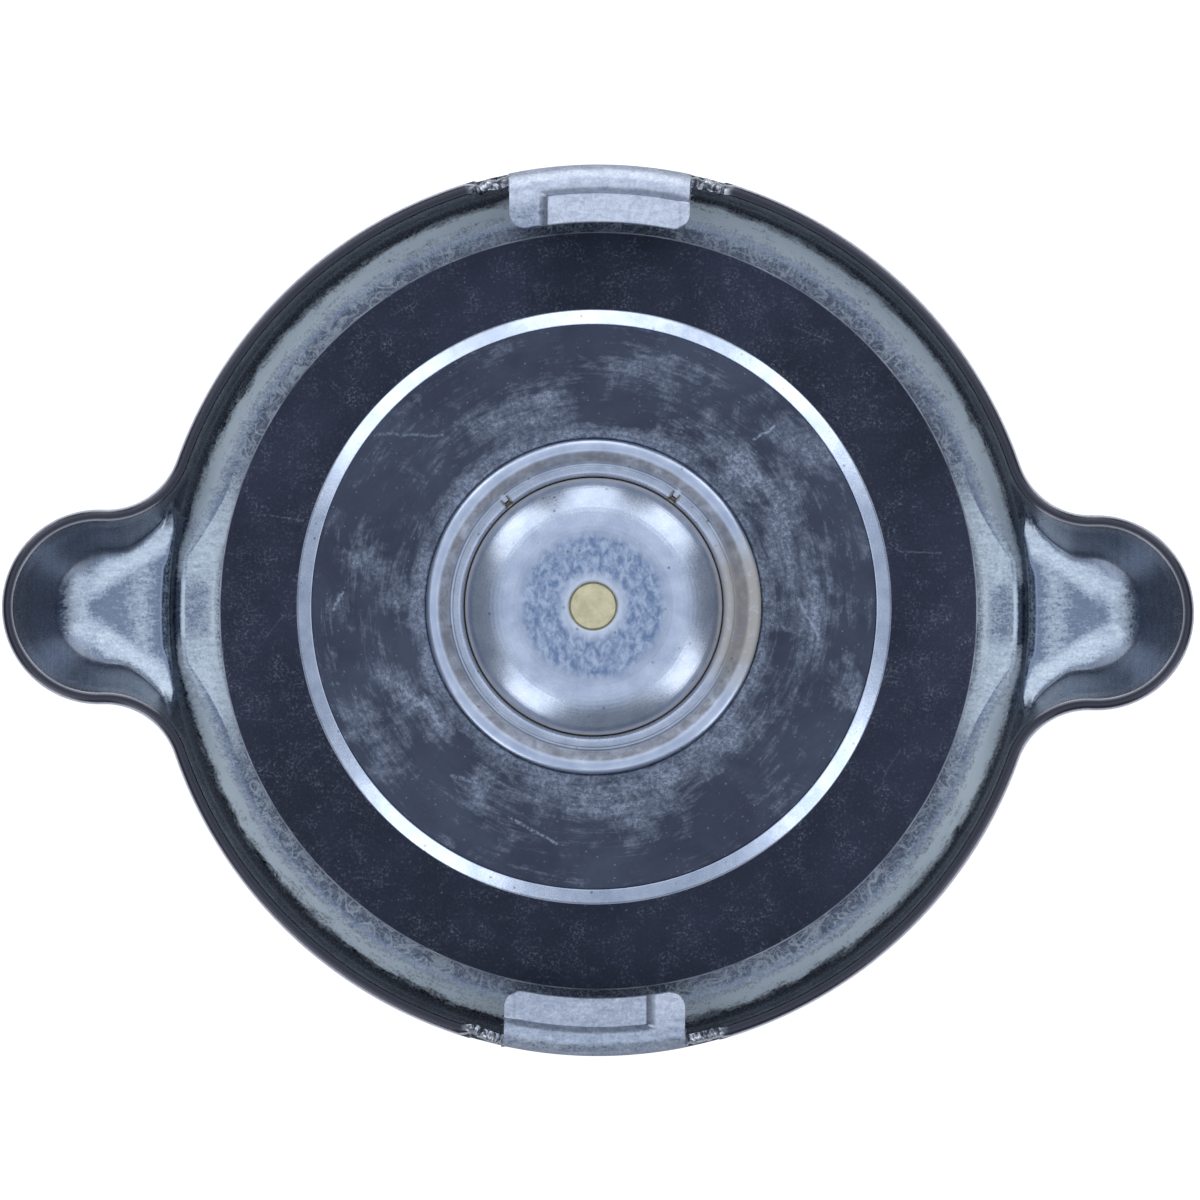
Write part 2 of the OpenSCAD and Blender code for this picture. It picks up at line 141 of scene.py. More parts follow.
# small helpers for node trees
def addNode(tree, kind, **settings):
    node = tree.nodes.new(kind)
    for key, value in settings.items():
        setattr(node, key, value)
    return node


def feed(tree, node, **values):
    # sockets by name, underscores for blanks, or by number as i0, i1 and i2
    for key, value in values.items():
        numbered = key[0] == "i" and key[1:].isdigit()
        socket = node.inputs[int(key[1:]) if numbered else key.replace("_", " ")]
        if isinstance(value, bpy.types.NodeSocket):
            tree.links.new(value, socket)
        else:
            socket.default_value = value
    return node


def mathNode(tree, operation, a, b=0.0, c=0.0, clamp=False):
    node = addNode(tree, "ShaderNodeMath", operation=operation, use_clamp=clamp)
    feed(tree, node, i0=a, i1=b, i2=c)
    return node.outputs[0]


def realizedMesh(obj):
    # the modifier's result becomes the piece's own plain mesh
    bpy.context.view_layer.update()
    evaluated = obj.evaluated_get(bpy.context.evaluated_depsgraph_get())
    mesh = bpy.data.meshes.new_from_object(evaluated)
    obj.modifiers.clear()
    obj.data = mesh
    mesh.name = obj.name
    return obj


def groupInput(tree, name, kind, value=None):
    socket = tree.interface.new_socket(name, in_out="INPUT", socket_type=kind)
    if value is not None:
        socket.default_value = value
    return socket.identifier


# turned pieces: a profile swept round the valve axis
turnTree = bpy.data.node_groups.new("turnProfile", "GeometryNodeTree")
groupInput(turnTree, "Geometry", "NodeSocketGeometry")
turnKeys = {
    "segments": groupInput(turnTree, "Segments", "NodeSocketInt", 192),
    "pathRadius": groupInput(turnTree, "Path Radius", "NodeSocketFloat", 0.001),
    "material": groupInput(turnTree, "Material", "NodeSocketMaterial"),
}
turnTree.interface.new_socket("Geometry", in_out="OUTPUT", socket_type="NodeSocketGeometry")


def fillTurnTree(tree):
    given = addNode(tree, "NodeGroupInput")
    profile = addNode(tree, "GeometryNodeMeshToCurve")
    path = addNode(tree, "GeometryNodeCurvePrimitiveCircle", mode="RADIUS")
    sweep = addNode(tree, "GeometryNodeCurveToMesh")
    merge = addNode(tree, "GeometryNodeMergeByDistance")
    real = addNode(tree, "GeometryNodeRealizeInstances")
    paint = addNode(tree, "GeometryNodeSetMaterial")
    out = addNode(tree, "NodeGroupOutput")
    feed(tree, profile, Mesh=given.outputs["Geometry"])
    feed(tree, path, Resolution=given.outputs["Segments"], Radius=given.outputs["Path Radius"])
    feed(tree, sweep, Curve=path.outputs["Curve"], Profile_Curve=profile.outputs["Curve"])
    feed(tree, merge, Geometry=sweep.outputs["Mesh"], Distance=weld)
    feed(tree, real, Geometry=merge.outputs["Geometry"])
    feed(tree, paint, Geometry=real.outputs["Geometry"], Material=given.outputs["Material"])
    feed(tree, out, Geometry=paint.outputs["Geometry"])


fillTurnTree(turnTree)


def turnedPiece(name, corners, material, segments=192, closed=True, steps=7):
    pathRadius = 1.0
    loop = roundedLoop(corners, steps, closed)
    verts = [((p.x - pathRadius) * mm, -p.y * mm, 0) for p in loop]
    edges = [(i, i + 1) for i in range(len(verts) - 1)] + ([(len(verts) - 1, 0)] if closed else [])
    mesh = bpy.data.meshes.new(name)
    mesh.from_pydata(verts, edges, [])
    obj = bpy.data.objects.new(name, mesh)
    bpy.context.collection.objects.link(obj)
    turn = obj.modifiers.new("turn", "NODES")
    turn.node_group = turnTree
    turn[turnKeys["segments"]] = segments
    turn[turnKeys["pathRadius"]] = pathRadius * mm
    turn[turnKeys["material"]] = material
    return outwardSmooth(realizedMesh(obj))


# coil springs: wire swept along a helix with one closed turn at each end
coilTree = bpy.data.node_groups.new("coilSpring", "GeometryNodeTree")
coilMesh = {"points": 361, "wireSides": 20, "turnGap": 0.05}
groupInput(coilTree, "Geometry", "NodeSocketGeometry")
coilKeys = {
    "turns": groupInput(coilTree, "Turns", "NodeSocketFloat", 4.0),
    "lowRadius": groupInput(coilTree, "Low Radius", "NodeSocketFloat", 0.01),
    "highRadius": groupInput(coilTree, "High Radius", "NodeSocketFloat", 0.01),
    "wire": groupInput(coilTree, "Wire", "NodeSocketFloat", 0.001),
    "closedPitch": groupInput(coilTree, "Closed Pitch", "NodeSocketFloat", 0.001),
    "low": groupInput(coilTree, "Low Seat", "NodeSocketFloat", 0.0),
    "high": groupInput(coilTree, "High Seat", "NodeSocketFloat", 0.02),
    "material": groupInput(coilTree, "Material", "NodeSocketMaterial"),
}
coilTree.interface.new_socket("Geometry", in_out="OUTPUT", socket_type="NodeSocketGeometry")


def fillCoilTree(tree):
    given = addNode(tree, "NodeGroupInput").outputs
    line = addNode(tree, "GeometryNodeCurvePrimitiveLine")
    points = addNode(tree, "GeometryNodeResampleCurve", mode="COUNT")
    along = addNode(tree, "GeometryNodeSplineParameter").outputs["Factor"]
    place = addNode(tree, "GeometryNodeSetPosition")
    spot = addNode(tree, "ShaderNodeCombineXYZ")
    ring = addNode(tree, "GeometryNodeCurvePrimitiveCircle", mode="RADIUS")
    sweep = addNode(tree, "GeometryNodeCurveToMesh")
    real = addNode(tree, "GeometryNodeRealizeInstances")
    paint = addNode(tree, "GeometryNodeSetMaterial")
    out = addNode(tree, "NodeGroupOutput")

    def calc(operation, *terms, **options):
        return mathNode(tree, operation, *terms, **options)

    half = calc("MULTIPLY", given["Wire"], 0.5)
    turn = calc("MULTIPLY", along, given["Turns"])
    angle = calc("MULTIPLY", turn, 2 * pi)
    widening = calc("SUBTRACT", given["High Radius"], given["Low Radius"])
    radius = calc("MULTIPLY_ADD", widening, along, given["Low Radius"])
    low = calc("ADD", given["Low Seat"], half)
    high = calc("SUBTRACT", given["High Seat"], half)
    # the first and last turn lie closed, and the turns between share the rest of the height
    closedRise = calc("MULTIPLY", given["Closed Pitch"], 2.0)
    rise = calc("SUBTRACT", calc("SUBTRACT", high, low), closedRise)
    openTurns = calc("SUBTRACT", given["Turns"], 2.0)
    middle = calc("DIVIDE", calc("SUBTRACT", turn, 1.0), openTurns, clamp=True)
    first = calc("MINIMUM", turn, 1.0)
    lastFrom = calc("SUBTRACT", given["Turns"], 1.0)
    last = calc("MAXIMUM", calc("SUBTRACT", turn, lastFrom), 0.0)
    ends = calc("MULTIPLY", calc("ADD", first, last), given["Closed Pitch"])
    height = calc("ADD", calc("MULTIPLY_ADD", rise, middle, low), ends)
    x = calc("MULTIPLY", radius, calc("COSINE", angle))
    y = calc("MULTIPLY", radius, calc("SINE", angle))
    feed(tree, points, Curve=line.outputs["Curve"], Count=coilMesh["points"])
    feed(tree, spot, X=x, Y=y, Z=height)
    feed(tree, place, Geometry=points.outputs["Curve"], Position=spot.outputs[0])
    feed(tree, ring, Resolution=coilMesh["wireSides"], Radius=half)
    feed(tree, sweep, Curve=place.outputs["Geometry"], Profile_Curve=ring.outputs["Curve"], Fill_Caps=True)
    feed(tree, real, Geometry=sweep.outputs["Mesh"])
    feed(tree, paint, Geometry=real.outputs["Geometry"], Material=given["Material"])
    feed(tree, out, Geometry=paint.outputs["Geometry"])


fillCoilTree(coilTree)


def coilPiece(name, sizes, material):
    obj = meshObject(name, [], [])
    coil = obj.modifiers.new("coil", "NODES")
    coil.node_group = coilTree
    coil[coilKeys["turns"]] = sizes["turns"]
    for key in ("lowRadius", "highRadius", "wire", "low", "high"):
        coil[coilKeys[key]] = sizes[key] * mm
    coil[coilKeys["closedPitch"]] = (sizes["wire"] + coilMesh["turnGap"]) * mm
    coil[coilKeys["material"]] = material
    return outwardSmooth(realizedMesh(obj))


# materials, all on Object coordinates in millimetres
def newMaterial(name):
    material = bpy.data.materials.new(name)
    material.use_nodes = True
    tree = material.node_tree
    return material, tree, tree.nodes["Principled BSDF"]


def mmCoords(tree, turn=0.0, stretch=(1, 1, 1)):
    spot = addNode(tree, "ShaderNodeTexCoord").outputs["Object"]
    mapping = addNode(tree, "ShaderNodeMapping")
    feed(tree, mapping, Vector=spot, Rotation=(0, 0, radians(turn)), Scale=tuple(s / mm for s in stretch))
    return mapping.outputs[0]


def noiseAt(tree, coords, scale, detail=3.0, rough=0.55, warp=0.0):
    node = addNode(tree, "ShaderNodeTexNoise")
    feed(tree, node, Vector=coords, Scale=scale, Detail=detail, Roughness=rough, Distortion=warp)
    return node.outputs["Fac"]


def span(tree, value, low, high, toLow=0.0, toHigh=1.0):
    node = addNode(tree, "ShaderNodeMapRange")
    feed(tree, node, Value=value, From_Min=low, From_Max=high, To_Min=toLow, To_Max=toHigh)
    return node.outputs["Result"]


def mixed(tree, share, a, b):
    node = addNode(tree, "ShaderNodeMix", data_type="RGBA")
    feed(tree, node, i0=share)
    for socket, value in ((node.inputs[6], a), (node.inputs[7], b)):
        if isinstance(value, bpy.types.NodeSocket):
            tree.links.new(value, socket)
        else:
            socket.default_value = (*value, 1)
    return node.outputs[2]


def times(tree, a, b):
    return mathNode(tree, "MULTIPLY", a, b)


def plus(tree, a, b):
    return mathNode(tree, "ADD", a, b)


def minus(tree, a, b):
    return mathNode(tree, "SUBTRACT", a, b)


def most(tree, a, b):
    return mathNode(tree, "MAXIMUM", a, b)


def axisParts(tree, coords):
    parts = addNode(tree, "ShaderNodeSeparateXYZ")
    feed(tree, parts, Vector=coords)
    return parts.outputs


def axisRadius(tree, coords):
    return vectorNode(tree, "LENGTH", vectorNode(tree, "MULTIPLY", coords, (1, 1, 0)))


def vectorNode(tree, operation, a, b=(0, 0, 0)):
    node = addNode(tree, "ShaderNodeVectorMath", operation=operation)
    feed(tree, node, i0=a, i1=b)
    return node.outputs["Value"] if operation in ("LENGTH", "DOT_PRODUCT") else node.outputs[0]


def ringCoords(tree, coords, around, across):
    # coordinates that run with the circles round the axis, without a seam
    way = vectorNode(tree, "NORMALIZE", vectorNode(tree, "MULTIPLY", coords, (1, 1, 0)))
    parts = axisParts(tree, way)
    both = addNode(tree, "ShaderNodeCombineXYZ")
    feed(tree, both, X=times(tree, parts[0], around), Y=times(tree, parts[1], around),
         Z=times(tree, axisRadius(tree, coords), across))
    return both.outputs[0]


def ridges(tree, coords, scale, width, warp=1.0):
    # thin curly lines where a noise crosses its middle
    field = noiseAt(tree, coords, scale, 2.0, 0.5, warp)
    away = mathNode(tree, "ABSOLUTE", minus(tree, field, 0.5))
    return span(tree, away, width, width * 0.25)


def bumped(tree, shader, height, depth):
    # depth in millimetres
    bump = addNode(tree, "ShaderNodeBump")
    feed(tree, bump, Height=height, Strength=1.0, Distance=depth * mm)
    feed(tree, shader, Normal=bump.outputs[0])


def specks(tree, coords, scale, size, seedShift=0.0):
    # scattered dots: 1 in the middle of some of the cells
    shift = vectorNode(tree, "ADD", coords, (seedShift, seedShift * 0.7, 0))
    cells = addNode(tree, "ShaderNodeTexVoronoi", feature="F1")
    feed(tree, cells, Vector=shift, Scale=scale, Randomness=1.0)
    keep = addNode(tree, "ShaderNodeSeparateColor")
    feed(tree, keep, Color=cells.outputs["Color"])
    dot = span(tree, cells.outputs["Distance"], size, size * 0.4)
    return times(tree, dot, span(tree, keep.outputs[0], 0.45, 0.9))


# the wall tone is painted shade on walls and bends, the edge tone a painted highlight on the rim's rounding,
# and the low chalk is made brighter and bluer to paint the highlight streak in the bends besides the pale
# flakes
zincLook = {
    "bright": (0.21, 0.245, 0.315), "dark": (0.10, 0.12, 0.165), "worn": (0.235, 0.29, 0.39),
    "wall": (0.095, 0.107, 0.135), "lowChalkAndHighlight": (0.81, 0.925, 1.0), "highChalk": (0.70, 0.76, 0.87),
    "chalkTurn": (3.0, 8.0), "pit": (0.40, 0.45, 0.54), "cut": (0.06, 0.063, 0.078),
    "edge": (0.72, 0.71, 0.77), "tornDark": (0.06, 0.065, 0.08), "tornLight": (0.62, 0.66, 0.73),
    "bump": 0.008,
}


def zincMaterial(name, stamped=True):
    # plating with curly pale flakes; on the stamping a colour attribute marks edges (with a painted highlight
    # on the rim's rounding), walls (painted shade), tears and chalky places (real chalk, and painted
    # highlights in the bends and on the ear floors), and its wear attribute what is rubbed bright
    material, tree, shader = newMaterial(name)
    coords = mmCoords(tree)
    broad = noiseAt(tree, coords, 0.16, 3.0, 0.6)
    fine = noiseAt(tree, coords, 5.0, 5.0, 0.72, 0.5)
    smallCurls = times(tree, ridges(tree, coords, 1.1, 0.04, 0.9), 0.6)
    curls = most(tree, ridges(tree, coords, 0.5, 0.042, 1.1), smallCurls)
    curls = times(tree, curls, span(tree, fine, 0.32, 0.54, 0.25, 1.0))
    patchy = (0.32, 0.56, 0.15, 0.62) if stamped else (0.4, 0.65, 0.0, 0.25)
    flaky = times(tree, curls, span(tree, broad, *patchy))
    ground = zincLook["dark" if stamped else "worn"]
    tone = mixed(tree, span(tree, fine, 0.38, 0.66), ground, zincLook["bright"])
    chalkAndHighlight = zincLook["highChalk"]
    if stamped:
        finishAndPaintedLight = addNode(tree, "ShaderNodeAttribute", attribute_name="finishAndPaintedLight")
        marks = addNode(tree, "ShaderNodeSeparateColor")
        feed(tree, marks, Color=finishAndPaintedLight.outputs["Color"])
        edge, wall, torn = marks.outputs[0], marks.outputs[1], marks.outputs[2]
        chalkAndHighlightMark = finishAndPaintedLight.outputs["Alpha"]
        worn = addNode(tree, "ShaderNodeAttribute", attribute_name="wear").outputs["Fac"]
        height = axisParts(tree, coords)[2]
        pits = times(tree, span(tree, noiseAt(tree, coords, 1.9, 5.0, 0.72, 0.8), 0.42, 0.62), 0.55)
        pitted = mixed(tree, pits, zincLook["highChalk"], zincLook["pit"])
        chalkAndHighlight = mixed(tree, span(tree, height, *zincLook["chalkTurn"]), zincLook["lowChalkAndHighlight"], pitted)
        # the chalk thins out in wisps that run with the rim, and in grains where it is worn
        wisps = noiseAt(tree, ringCoords(tree, coords, 14.0, 2.6), 1.0, 4.0, 0.7, 0.3)
        grains = noiseAt(tree, mmCoords(tree, 35, (0.5, 1.6, 1)), 1.7, 6.0, 0.78)
        wisps = mathNode(tree, "MULTIPLY_ADD", worn, minus(tree, grains, wisps), wisps)
        field = plus(tree, times(tree, wisps, 0.5), times(tree, fine, 0.5))
        evened = span(tree, most(tree, worn, wall), 0.0, 1.0, 1.0, 0.5)
        spread = times(tree, span(tree, field, 0.38, 0.62, -0.5, 0.5), evened)
        cloudy = plus(tree, spread, mathNode(tree, "MULTIPLY_ADD", chalkAndHighlightMark, 1.3, 0.5))
        powder = span(tree, cloudy, 0.7, 1.35)
        clear = span(tree, edge, 0.3, 0.1)
        bare = times(tree, minus(tree, 1.0, most(tree, wall, worn)), clear)
        # pale flakes along the rim's outer rounding: a painted highlight
        edgeHighlight = times(tree, span(tree, edge, 0.7, 1.0), span(tree, fine, 0.36, 0.56, 0.2, 0.8))
        flaky = most(tree, most(tree, times(tree, flaky, bare), times(tree, powder, clear)), edgeHighlight)
        curls = plus(tree, times(tree, curls, bare), pits)
        # tones from worn plating, painted shade on the walls and bends, cut edges with a painted highlight
        # along the rim's outer rounding, and torn corners
        rings = noiseAt(tree, ringCoords(tree, coords, 1.5, 6.0), 1.0, 4.0, 0.7)
        paintedWallShade = times(tree, wall, span(tree, rings, 0.3, 0.7, 1.0, 0.6))
        crumple = noiseAt(tree, coords, 1.3, 3.0, 0.6, 0.8)
        tear = mixed(tree, span(tree, crumple, 0.40, 0.62), zincLook["tornDark"], zincLook["tornLight"])
        tone = mixed(tree, worn, tone, zincLook["worn"])
        tone = mixed(tree, paintedWallShade, tone, zincLook["wall"])
        tone = mixed(tree, span(tree, edge, 0.1, 0.45), tone, zincLook["cut"])
        tone = mixed(tree, span(tree, edge, 0.6, 0.95), tone, zincLook["edge"])
        tone = mixed(tree, torn, tone, tear)
    feed(tree, shader, Base_Color=mixed(tree, flaky, tone, chalkAndHighlight))
    metal, matte = span(tree, flaky, 0.0, 1.0, 1.0, 0.0), 0.3
    if stamped:
        # rubbed bright where worn, powdery elsewhere
        metal = most(tree, metal, times(tree, worn, 0.7))
        metal = times(tree, metal, span(tree, wall, 0.6, 1.0, 1.0, 0.45))
        matte = span(tree, worn, 0.0, 1.0, 0.3, 0.16)
    rough = mathNode(tree, "MULTIPLY_ADD", flaky, matte, 0.2)
    feed(tree, shader, Metallic=metal, Roughness=mathNode(tree, "MULTIPLY_ADD", fine, 0.14, rough))
    bumped(tree, shader, plus(tree, times(tree, curls, 0.4), times(tree, fine, 0.6)), zincLook["bump"])
    return material


# the dark of the button's disc is a painted dark reflection, and the pale silt also paints light into the
# shaded gap round the button
brightLook = {
    "pale": (0.62, 0.70, 0.85), "blue": (0.47, 0.555, 0.71), "grime": (0.20, 0.20, 0.215),
    "stain": (0.37, 0.36, 0.34), "dirt": (0.10, 0.085, 0.06), "siltAndPaintedLight": (0.42, 0.43, 0.47),
    "discDarkReflection": (0.13, 0.20, 0.35), "discPale": (0.38, 0.46, 0.60), "collar": (0.55, 0.62, 0.74),
    "discR": (5.5, 4.8), "collarR": (2.7, 1.95), "stainX": (7.4, 9.4), "stainY": (6.2, 3.0), "stainOff": 0.4,
    "gapR": (8.5, 8.9), "siltFade": 0.5, "ringFade": 0.12, "bump": 0.004,
}


def grimeMask(tree, coords, radius, dirtyRings):
    # brown film in the given rings, as (inner, outer, strength)
    streak = span(tree, noiseAt(tree, coords, 1.1, 5.0, 0.7), 0.3, 0.62, 0.45, 1.0)
    fade = brightLook["ringFade"]
    mask = 0.0
    for inner, outer, strength in dirtyRings:
        ring = times(tree, span(tree, radius, inner - fade, inner + fade),
                     span(tree, radius, outer + fade, outer - fade))
        mask = most(tree, mask, times(tree, ring, times(tree, streak, strength)))
    return mask


def brightMaterial(name, roughness, dirtyRings=(), stained=False, mottled=False, siltLevel=0.0, shade=1.0):
    # smooth plating; siltLevel is the height up to which pale dust is painted, which also lightens the shaded
    # gap round the button as painted light
    material, tree, shader = newMaterial(name)
    coords = mmCoords(tree)
    radius, place = axisRadius(tree, coords), axisParts(tree, coords)
    cloud = noiseAt(tree, coords, 0.55, 4.0, 0.6)
    fine = noiseAt(tree, coords, 6.0, 4.0, 0.65)
    pale, blue = [tuple(v * shade for v in brightLook[key]) for key in ("pale", "blue")]
    tone = mixed(tree, span(tree, cloud, 0.35, 0.65), pale, blue)
    rough = span(tree, fine, 0.3, 0.7, roughness, roughness + 0.08)
    metal = 1.0
    if mottled:
        # rubbed flat middle of the button: pale patches over a dark blue that paints the flat's dark
        # reflection
        streaks = noiseAt(tree, mmCoords(tree, 8, (1.5, 0.95, 1)), 1.25, 6.0, 0.7, 0.35)
        disc = mixed(tree, span(tree, streaks, 0.40, 0.62), brightLook["discDarkReflection"], brightLook["discPale"])
        middle = span(tree, radius, *brightLook["discR"])
        hole = times(tree, span(tree, radius, *brightLook["collarR"]), 0.8)
        tone = mixed(tree, middle, tone, disc)
        tone = mixed(tree, hole, tone, brightLook["collar"])
        rough = plus(tree, rough, times(tree, middle, 0.25))
        metal = span(tree, middle, 0.0, 1.0, 1.0, 0.4)
    if dirtyRings:
        grime = grimeMask(tree, coords, radius, dirtyRings)
        if stained:
            # brown blot on the +X side
            off = mathNode(tree, "ABSOLUTE", plus(tree, place[1], brightLook["stainOff"]))
            side = span(tree, place[0], *brightLook["stainX"])
            side = times(tree, side, span(tree, off, *brightLook["stainY"]))
            blot = times(tree, side, span(tree, noiseAt(tree, coords, 1.6, 5.0, 0.7), 0.26, 0.46))
            tone = mixed(tree, times(tree, blot, 0.95), tone, brightLook["stain"])
            rough = plus(tree, rough, times(tree, blot, 0.3))
            metal = span(tree, blot, 0.0, 1.0, 1.0, 0.35)
        tone = mixed(tree, grime, tone, brightLook["grime"])
        if siltLevel:
            # dust that has settled in the gap round the button, painted pale so that it also lightens the
            # gap's shade: painted light
            deep = span(tree, place[2], siltLevel, siltLevel - brightLook["siltFade"])
            siltAndPaintedLight = times(tree, deep, span(tree, radius, *brightLook["gapR"]))
            tone = mixed(tree, siltAndPaintedLight, tone, brightLook["siltAndPaintedLight"])
            metal = times(tree, metal, span(tree, siltAndPaintedLight, 0.0, 1.0, 1.0, 0.1))
        rough = plus(tree, rough, times(tree, grime, 0.22))
    tone = mixed(tree, times(tree, specks(tree, coords, 1.1, 0.15), 0.75), tone, brightLook["dirt"])
    grimeMap = addNode(tree, "ShaderNodeAttribute", attribute_name="grime")
    tone = mixed(tree, grimeMap.outputs["Fac"], tone, brightLook["dirt"])
    feed(tree, shader, Base_Color=tone, Roughness=rough, Metallic=metal)
    bumped(tree, shader, fine, brightLook["bump"])
    return material


springLook = {"dark": (0.38, 0.40, 0.43), "pale": (0.52, 0.54, 0.57), "rough": (0.28, 0.42), "bump": 0.004}


def springMaterial():
    material, tree, shader = newMaterial("drawnSpringSteel")
    coords = mmCoords(tree)
    cloud = span(tree, noiseAt(tree, coords, 0.7, 3.0), 0.35, 0.65)
    feed(tree, shader, Base_Color=mixed(tree, cloud, springLook["dark"], springLook["pale"]), Metallic=1.0)
    feed(tree, shader, Roughness=span(tree, noiseAt(tree, coords, 4.0), 0.3, 0.7, *springLook["rough"]))
    bumped(tree, shader, noiseAt(tree, mmCoords(tree, 0, (1, 1, 6)), 3.0), springLook["bump"])
    return material


scratchGroup = bpy.data.node_groups.new("scratchLine", "ShaderNodeTree")
for label in ("Vector", "Start", "End"):
    groupInput(scratchGroup, label, "NodeSocketVector")
groupInput(scratchGroup, "Width", "NodeSocketFloat")
scratchGroup.interface.new_socket("Mark", in_out="OUTPUT", socket_type="NodeSocketFloat")


def fillScratchGroup(tree):
    # 1 on a line from start to end, 0 beyond its width
    given = addNode(tree, "NodeGroupInput").outputs
    out = addNode(tree, "NodeGroupOutput")
    flat = vectorNode(tree, "MULTIPLY", given["Vector"], (1, 1, 0))
    along = vectorNode(tree, "SUBTRACT", given["End"], given["Start"])
    away = vectorNode(tree, "SUBTRACT", flat, given["Start"])
    reached = vectorNode(tree, "DOT_PRODUCT", away, along)
    share = mathNode(tree, "DIVIDE", reached, vectorNode(tree, "DOT_PRODUCT", along, along), clamp=True)
    step = addNode(tree, "ShaderNodeVectorMath", operation="SCALE")
    feed(tree, step, i0=along, Scale=share)
    off = vectorNode(tree, "LENGTH", vectorNode(tree, "SUBTRACT", away, step.outputs[0]))
    node = addNode(tree, "ShaderNodeMapRange", interpolation_type="SMOOTHSTEP")
    feed(tree, node, Value=off, From_Min=given["Width"], From_Max=0.0)
    feed(tree, out, Mark=node.outputs["Result"])


fillScratchGroup(scratchGroup)


def strokeMarks(tree, coords, lines, sway=0.5):
    # strokes given as (start, end, half width, strength), with a little sway
    wander = addNode(tree, "ShaderNodeTexNoise")
    feed(tree, wander, Vector=coords, Scale=0.6, Detail=2.0)
    centred = vectorNode(tree, "SUBTRACT", wander.outputs["Color"], (0.5, 0.5, 0.5))
    shift = addNode(tree, "ShaderNodeVectorMath", operation="MULTIPLY_ADD")
    feed(tree, shift, i0=centred, i1=(sway, sway, 0), i2=coords)
    marks = 0.0
    for start, end, width, strength in lines:
        line = addNode(tree, "ShaderNodeGroup", node_tree=scratchGroup)
        feed(tree, line, Vector=shift.outputs[0], Start=(*start, 0), End=(*end, 0), Width=width)
        marks = most(tree, marks, times(tree, line.outputs[0], strength))
    return marks


def scratchMarks(tree, coords, lines):
    broken = span(tree, noiseAt(tree, coords, 5.0, 3.0), 0.38, 0.55)
    return times(tree, strokeMarks(tree, coords, lines), broken)


neckLook = {
    "dark": (0.022, 0.028, 0.050), "soft": (0.036, 0.045, 0.077), "dust": (0.26, 0.30, 0.38),
    "edge": (0.50, 0.55, 0.64), "edgeR": (28.27, 28.33), "gloss": 0.18, "bump": 0.015,
    "scratches": (
        ((14.5, 21.4), (17.5, 20.2), 0.10, 0.25), ((22.5, 4.6), (25.6, 4.4), 0.12, 0.3),
        ((-15.5, 22.0), (-13.5, 23.2), 0.10, 0.2), ((-25.0, -2.4), (-23.4, -0.4), 0.10, 0.2),
        ((22.6, -10.2), (21.4, -12.4), 0.10, 0.2), ((-24.6, 7.0), (-22.2, 6.6), 0.12, 0.3),
    ),
}


def neckRubberMaterial():
    material, tree, shader = newMaterial("neckRubber")
    coords = mmCoords(tree)
    radius = axisRadius(tree, coords)
    cloud = noiseAt(tree, coords, 0.12, 4.0, 0.6)
    grain = noiseAt(tree, coords, 6.0, 3.0)
    tone = mixed(tree, span(tree, cloud, 0.35, 0.65), neckLook["dark"], neckLook["soft"])
    coarse = times(tree, specks(tree, coords, 1.3, 0.13), 0.7)
    dust = most(tree, coarse, times(tree, specks(tree, coords, 2.9, 0.22, 7.3), 0.5))
    clumps = span(tree, noiseAt(tree, coords, 0.55, 4.0, 0.7), 0.47, 0.66, 0.1, 1.0)
    film = times(tree, span(tree, noiseAt(tree, coords, 4.5, 5.0, 0.8), 0.50, 0.68), clumps)
    dusty = most(tree, times(tree, dust, 0.6), times(tree, film, 0.75))
    tone = mixed(tree, dusty, tone, neckLook["dust"])
    tone = mixed(tree, scratchMarks(tree, coords, neckLook["scratches"]), tone, neckLook["dust"])
    patchy = span(tree, noiseAt(tree, coords, 0.5), 0.3, 0.6, 0.35, 0.9)
    tone = mixed(tree, times(tree, span(tree, radius, *neckLook["edgeR"]), patchy), tone, neckLook["edge"])
    feed(tree, shader, Base_Color=tone, Roughness=span(tree, grain, 0.3, 0.7, 0.65, 0.85))
    shader.inputs["Specular IOR Level"].default_value = neckLook["gloss"]
    bumped(tree, shader, grain, neckLook["bump"])
    return material


